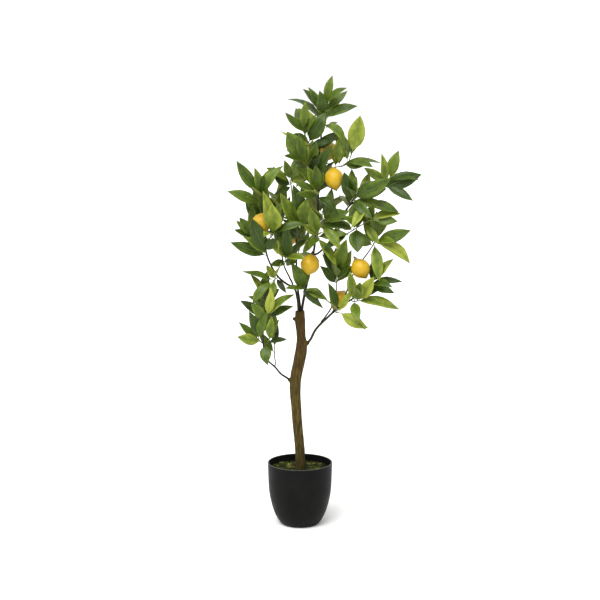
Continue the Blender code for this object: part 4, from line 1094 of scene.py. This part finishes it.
def made_lemons(lines):
    fruit, star = lemon_blank(), calyx_blank()
    tones = points_of(fruit)[:, 2]
    for name, (parent, start, middle, nipple) in LEMONS.items():
        nipple = Vector(nipple).normalized()
        end = Vector(middle) + nipple * LEMON_LENGTH / 2
        calyx = end - nipple * LEMON_LENGTH
        neck = calyx - nipple * NECK
        line = placed_line((start, neck, calyx), STALK_RADIUS, lines[parent])
        turned = (-nipple).to_track_quat("Z", "Y").to_matrix().to_4x4()
        lemon, cap = copied(fruit), copied(star)
        lemon.data.transform(Matrix.Translation(end * CM) @ turned @ Matrix.Scale(LEMON_LENGTH * CM, 4))
        set_tone(lemon, tones)
        roughened(lemon, *DENTS, octaves=2)
        roughened(lemon, *PITS, octaves=2)
        cap.data.transform(Matrix.Translation((calyx + nipple * CALYX_SUNK) * CM) @ turned)
        crook = line[0].lerp(neck, 0.5) + Vector((0, 0, CROOK_RISE))
        stalk_line = rooted([line[0], crook, neck, calyx], lines[parent])
        stalk = rod("stalk", stalk_line, (STALK_RADIUS,) * len(stalk_line), sides=8, steps=6)
        set_tone(stalk, STALK_TONE)
        coated(stalk, STEM)
        stands_for(joined(name + "_fruit", [lemon, cap, stalk]), name)
    for blank in (fruit, star):
        bpy.data.objects.remove(blank)


# ---------------------------------------------------------------- the studio

CAMERA_BACK = 3.5
CAMERA_HEIGHT = 1.135
CAMERA_PITCH = math.radians(9.05)
CAMERA_LENS = 85
KEY_FROM = (-0.3, -0.65, 1)
KEY_POWER = 3.3
KEY_SPREAD = math.radians(42)
ROOM_LIGHT = 1.06
FLOOR_SIZE = 60


def studio():
    camera = bpy.data.objects.new("camera", bpy.data.cameras.new("camera"))
    bpy.context.scene.collection.objects.link(camera)
    camera.data.lens = CAMERA_LENS
    camera.location = (0, -CAMERA_BACK, CAMERA_HEIGHT)
    camera.rotation_euler = (math.pi / 2 - CAMERA_PITCH, 0, 0)
    bpy.context.scene.camera = camera

    bpy.ops.mesh.primitive_plane_add(size=FLOOR_SIZE)
    floor = bpy.context.object
    floor.name = "floor"
    made, _ = new_material("pale_floor", Base_Color=colour("#e6e6e5"), Roughness=1.0, Specular_IOR_Level=0.0)
    floor.data.materials.append(made)
    floor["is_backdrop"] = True

    world = bpy.data.worlds.new("studio")
    bpy.context.scene.world = world
    world.use_nodes = True
    world.node_tree.nodes["Background"].inputs["Color"].default_value = (1, 1, 1, 1)
    world.node_tree.nodes["Background"].inputs["Strength"].default_value = ROOM_LIGHT
    bpy.ops.object.light_add(type="SUN", location=(0, 0, 3))
    key = bpy.context.object
    key.name = "key"
    key.data.energy = KEY_POWER
    key.data.angle = KEY_SPREAD
    key.rotation_euler = Vector(KEY_FROM).to_track_quat("Z", "Y").to_euler()
    bpy.context.scene.view_settings.view_transform = "Standard"


bpy.ops.object.select_all(action="DESELECT")
studio()
made_pot()
finish_fill()
made_moss()
stands_for(made_trunk(), "trunk")
stem_lines = made_branches()
made_lemons(stem_lines)
made_shoots(stem_lines)

[[list(corner) for corner in box] for box in (cad_box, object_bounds())]
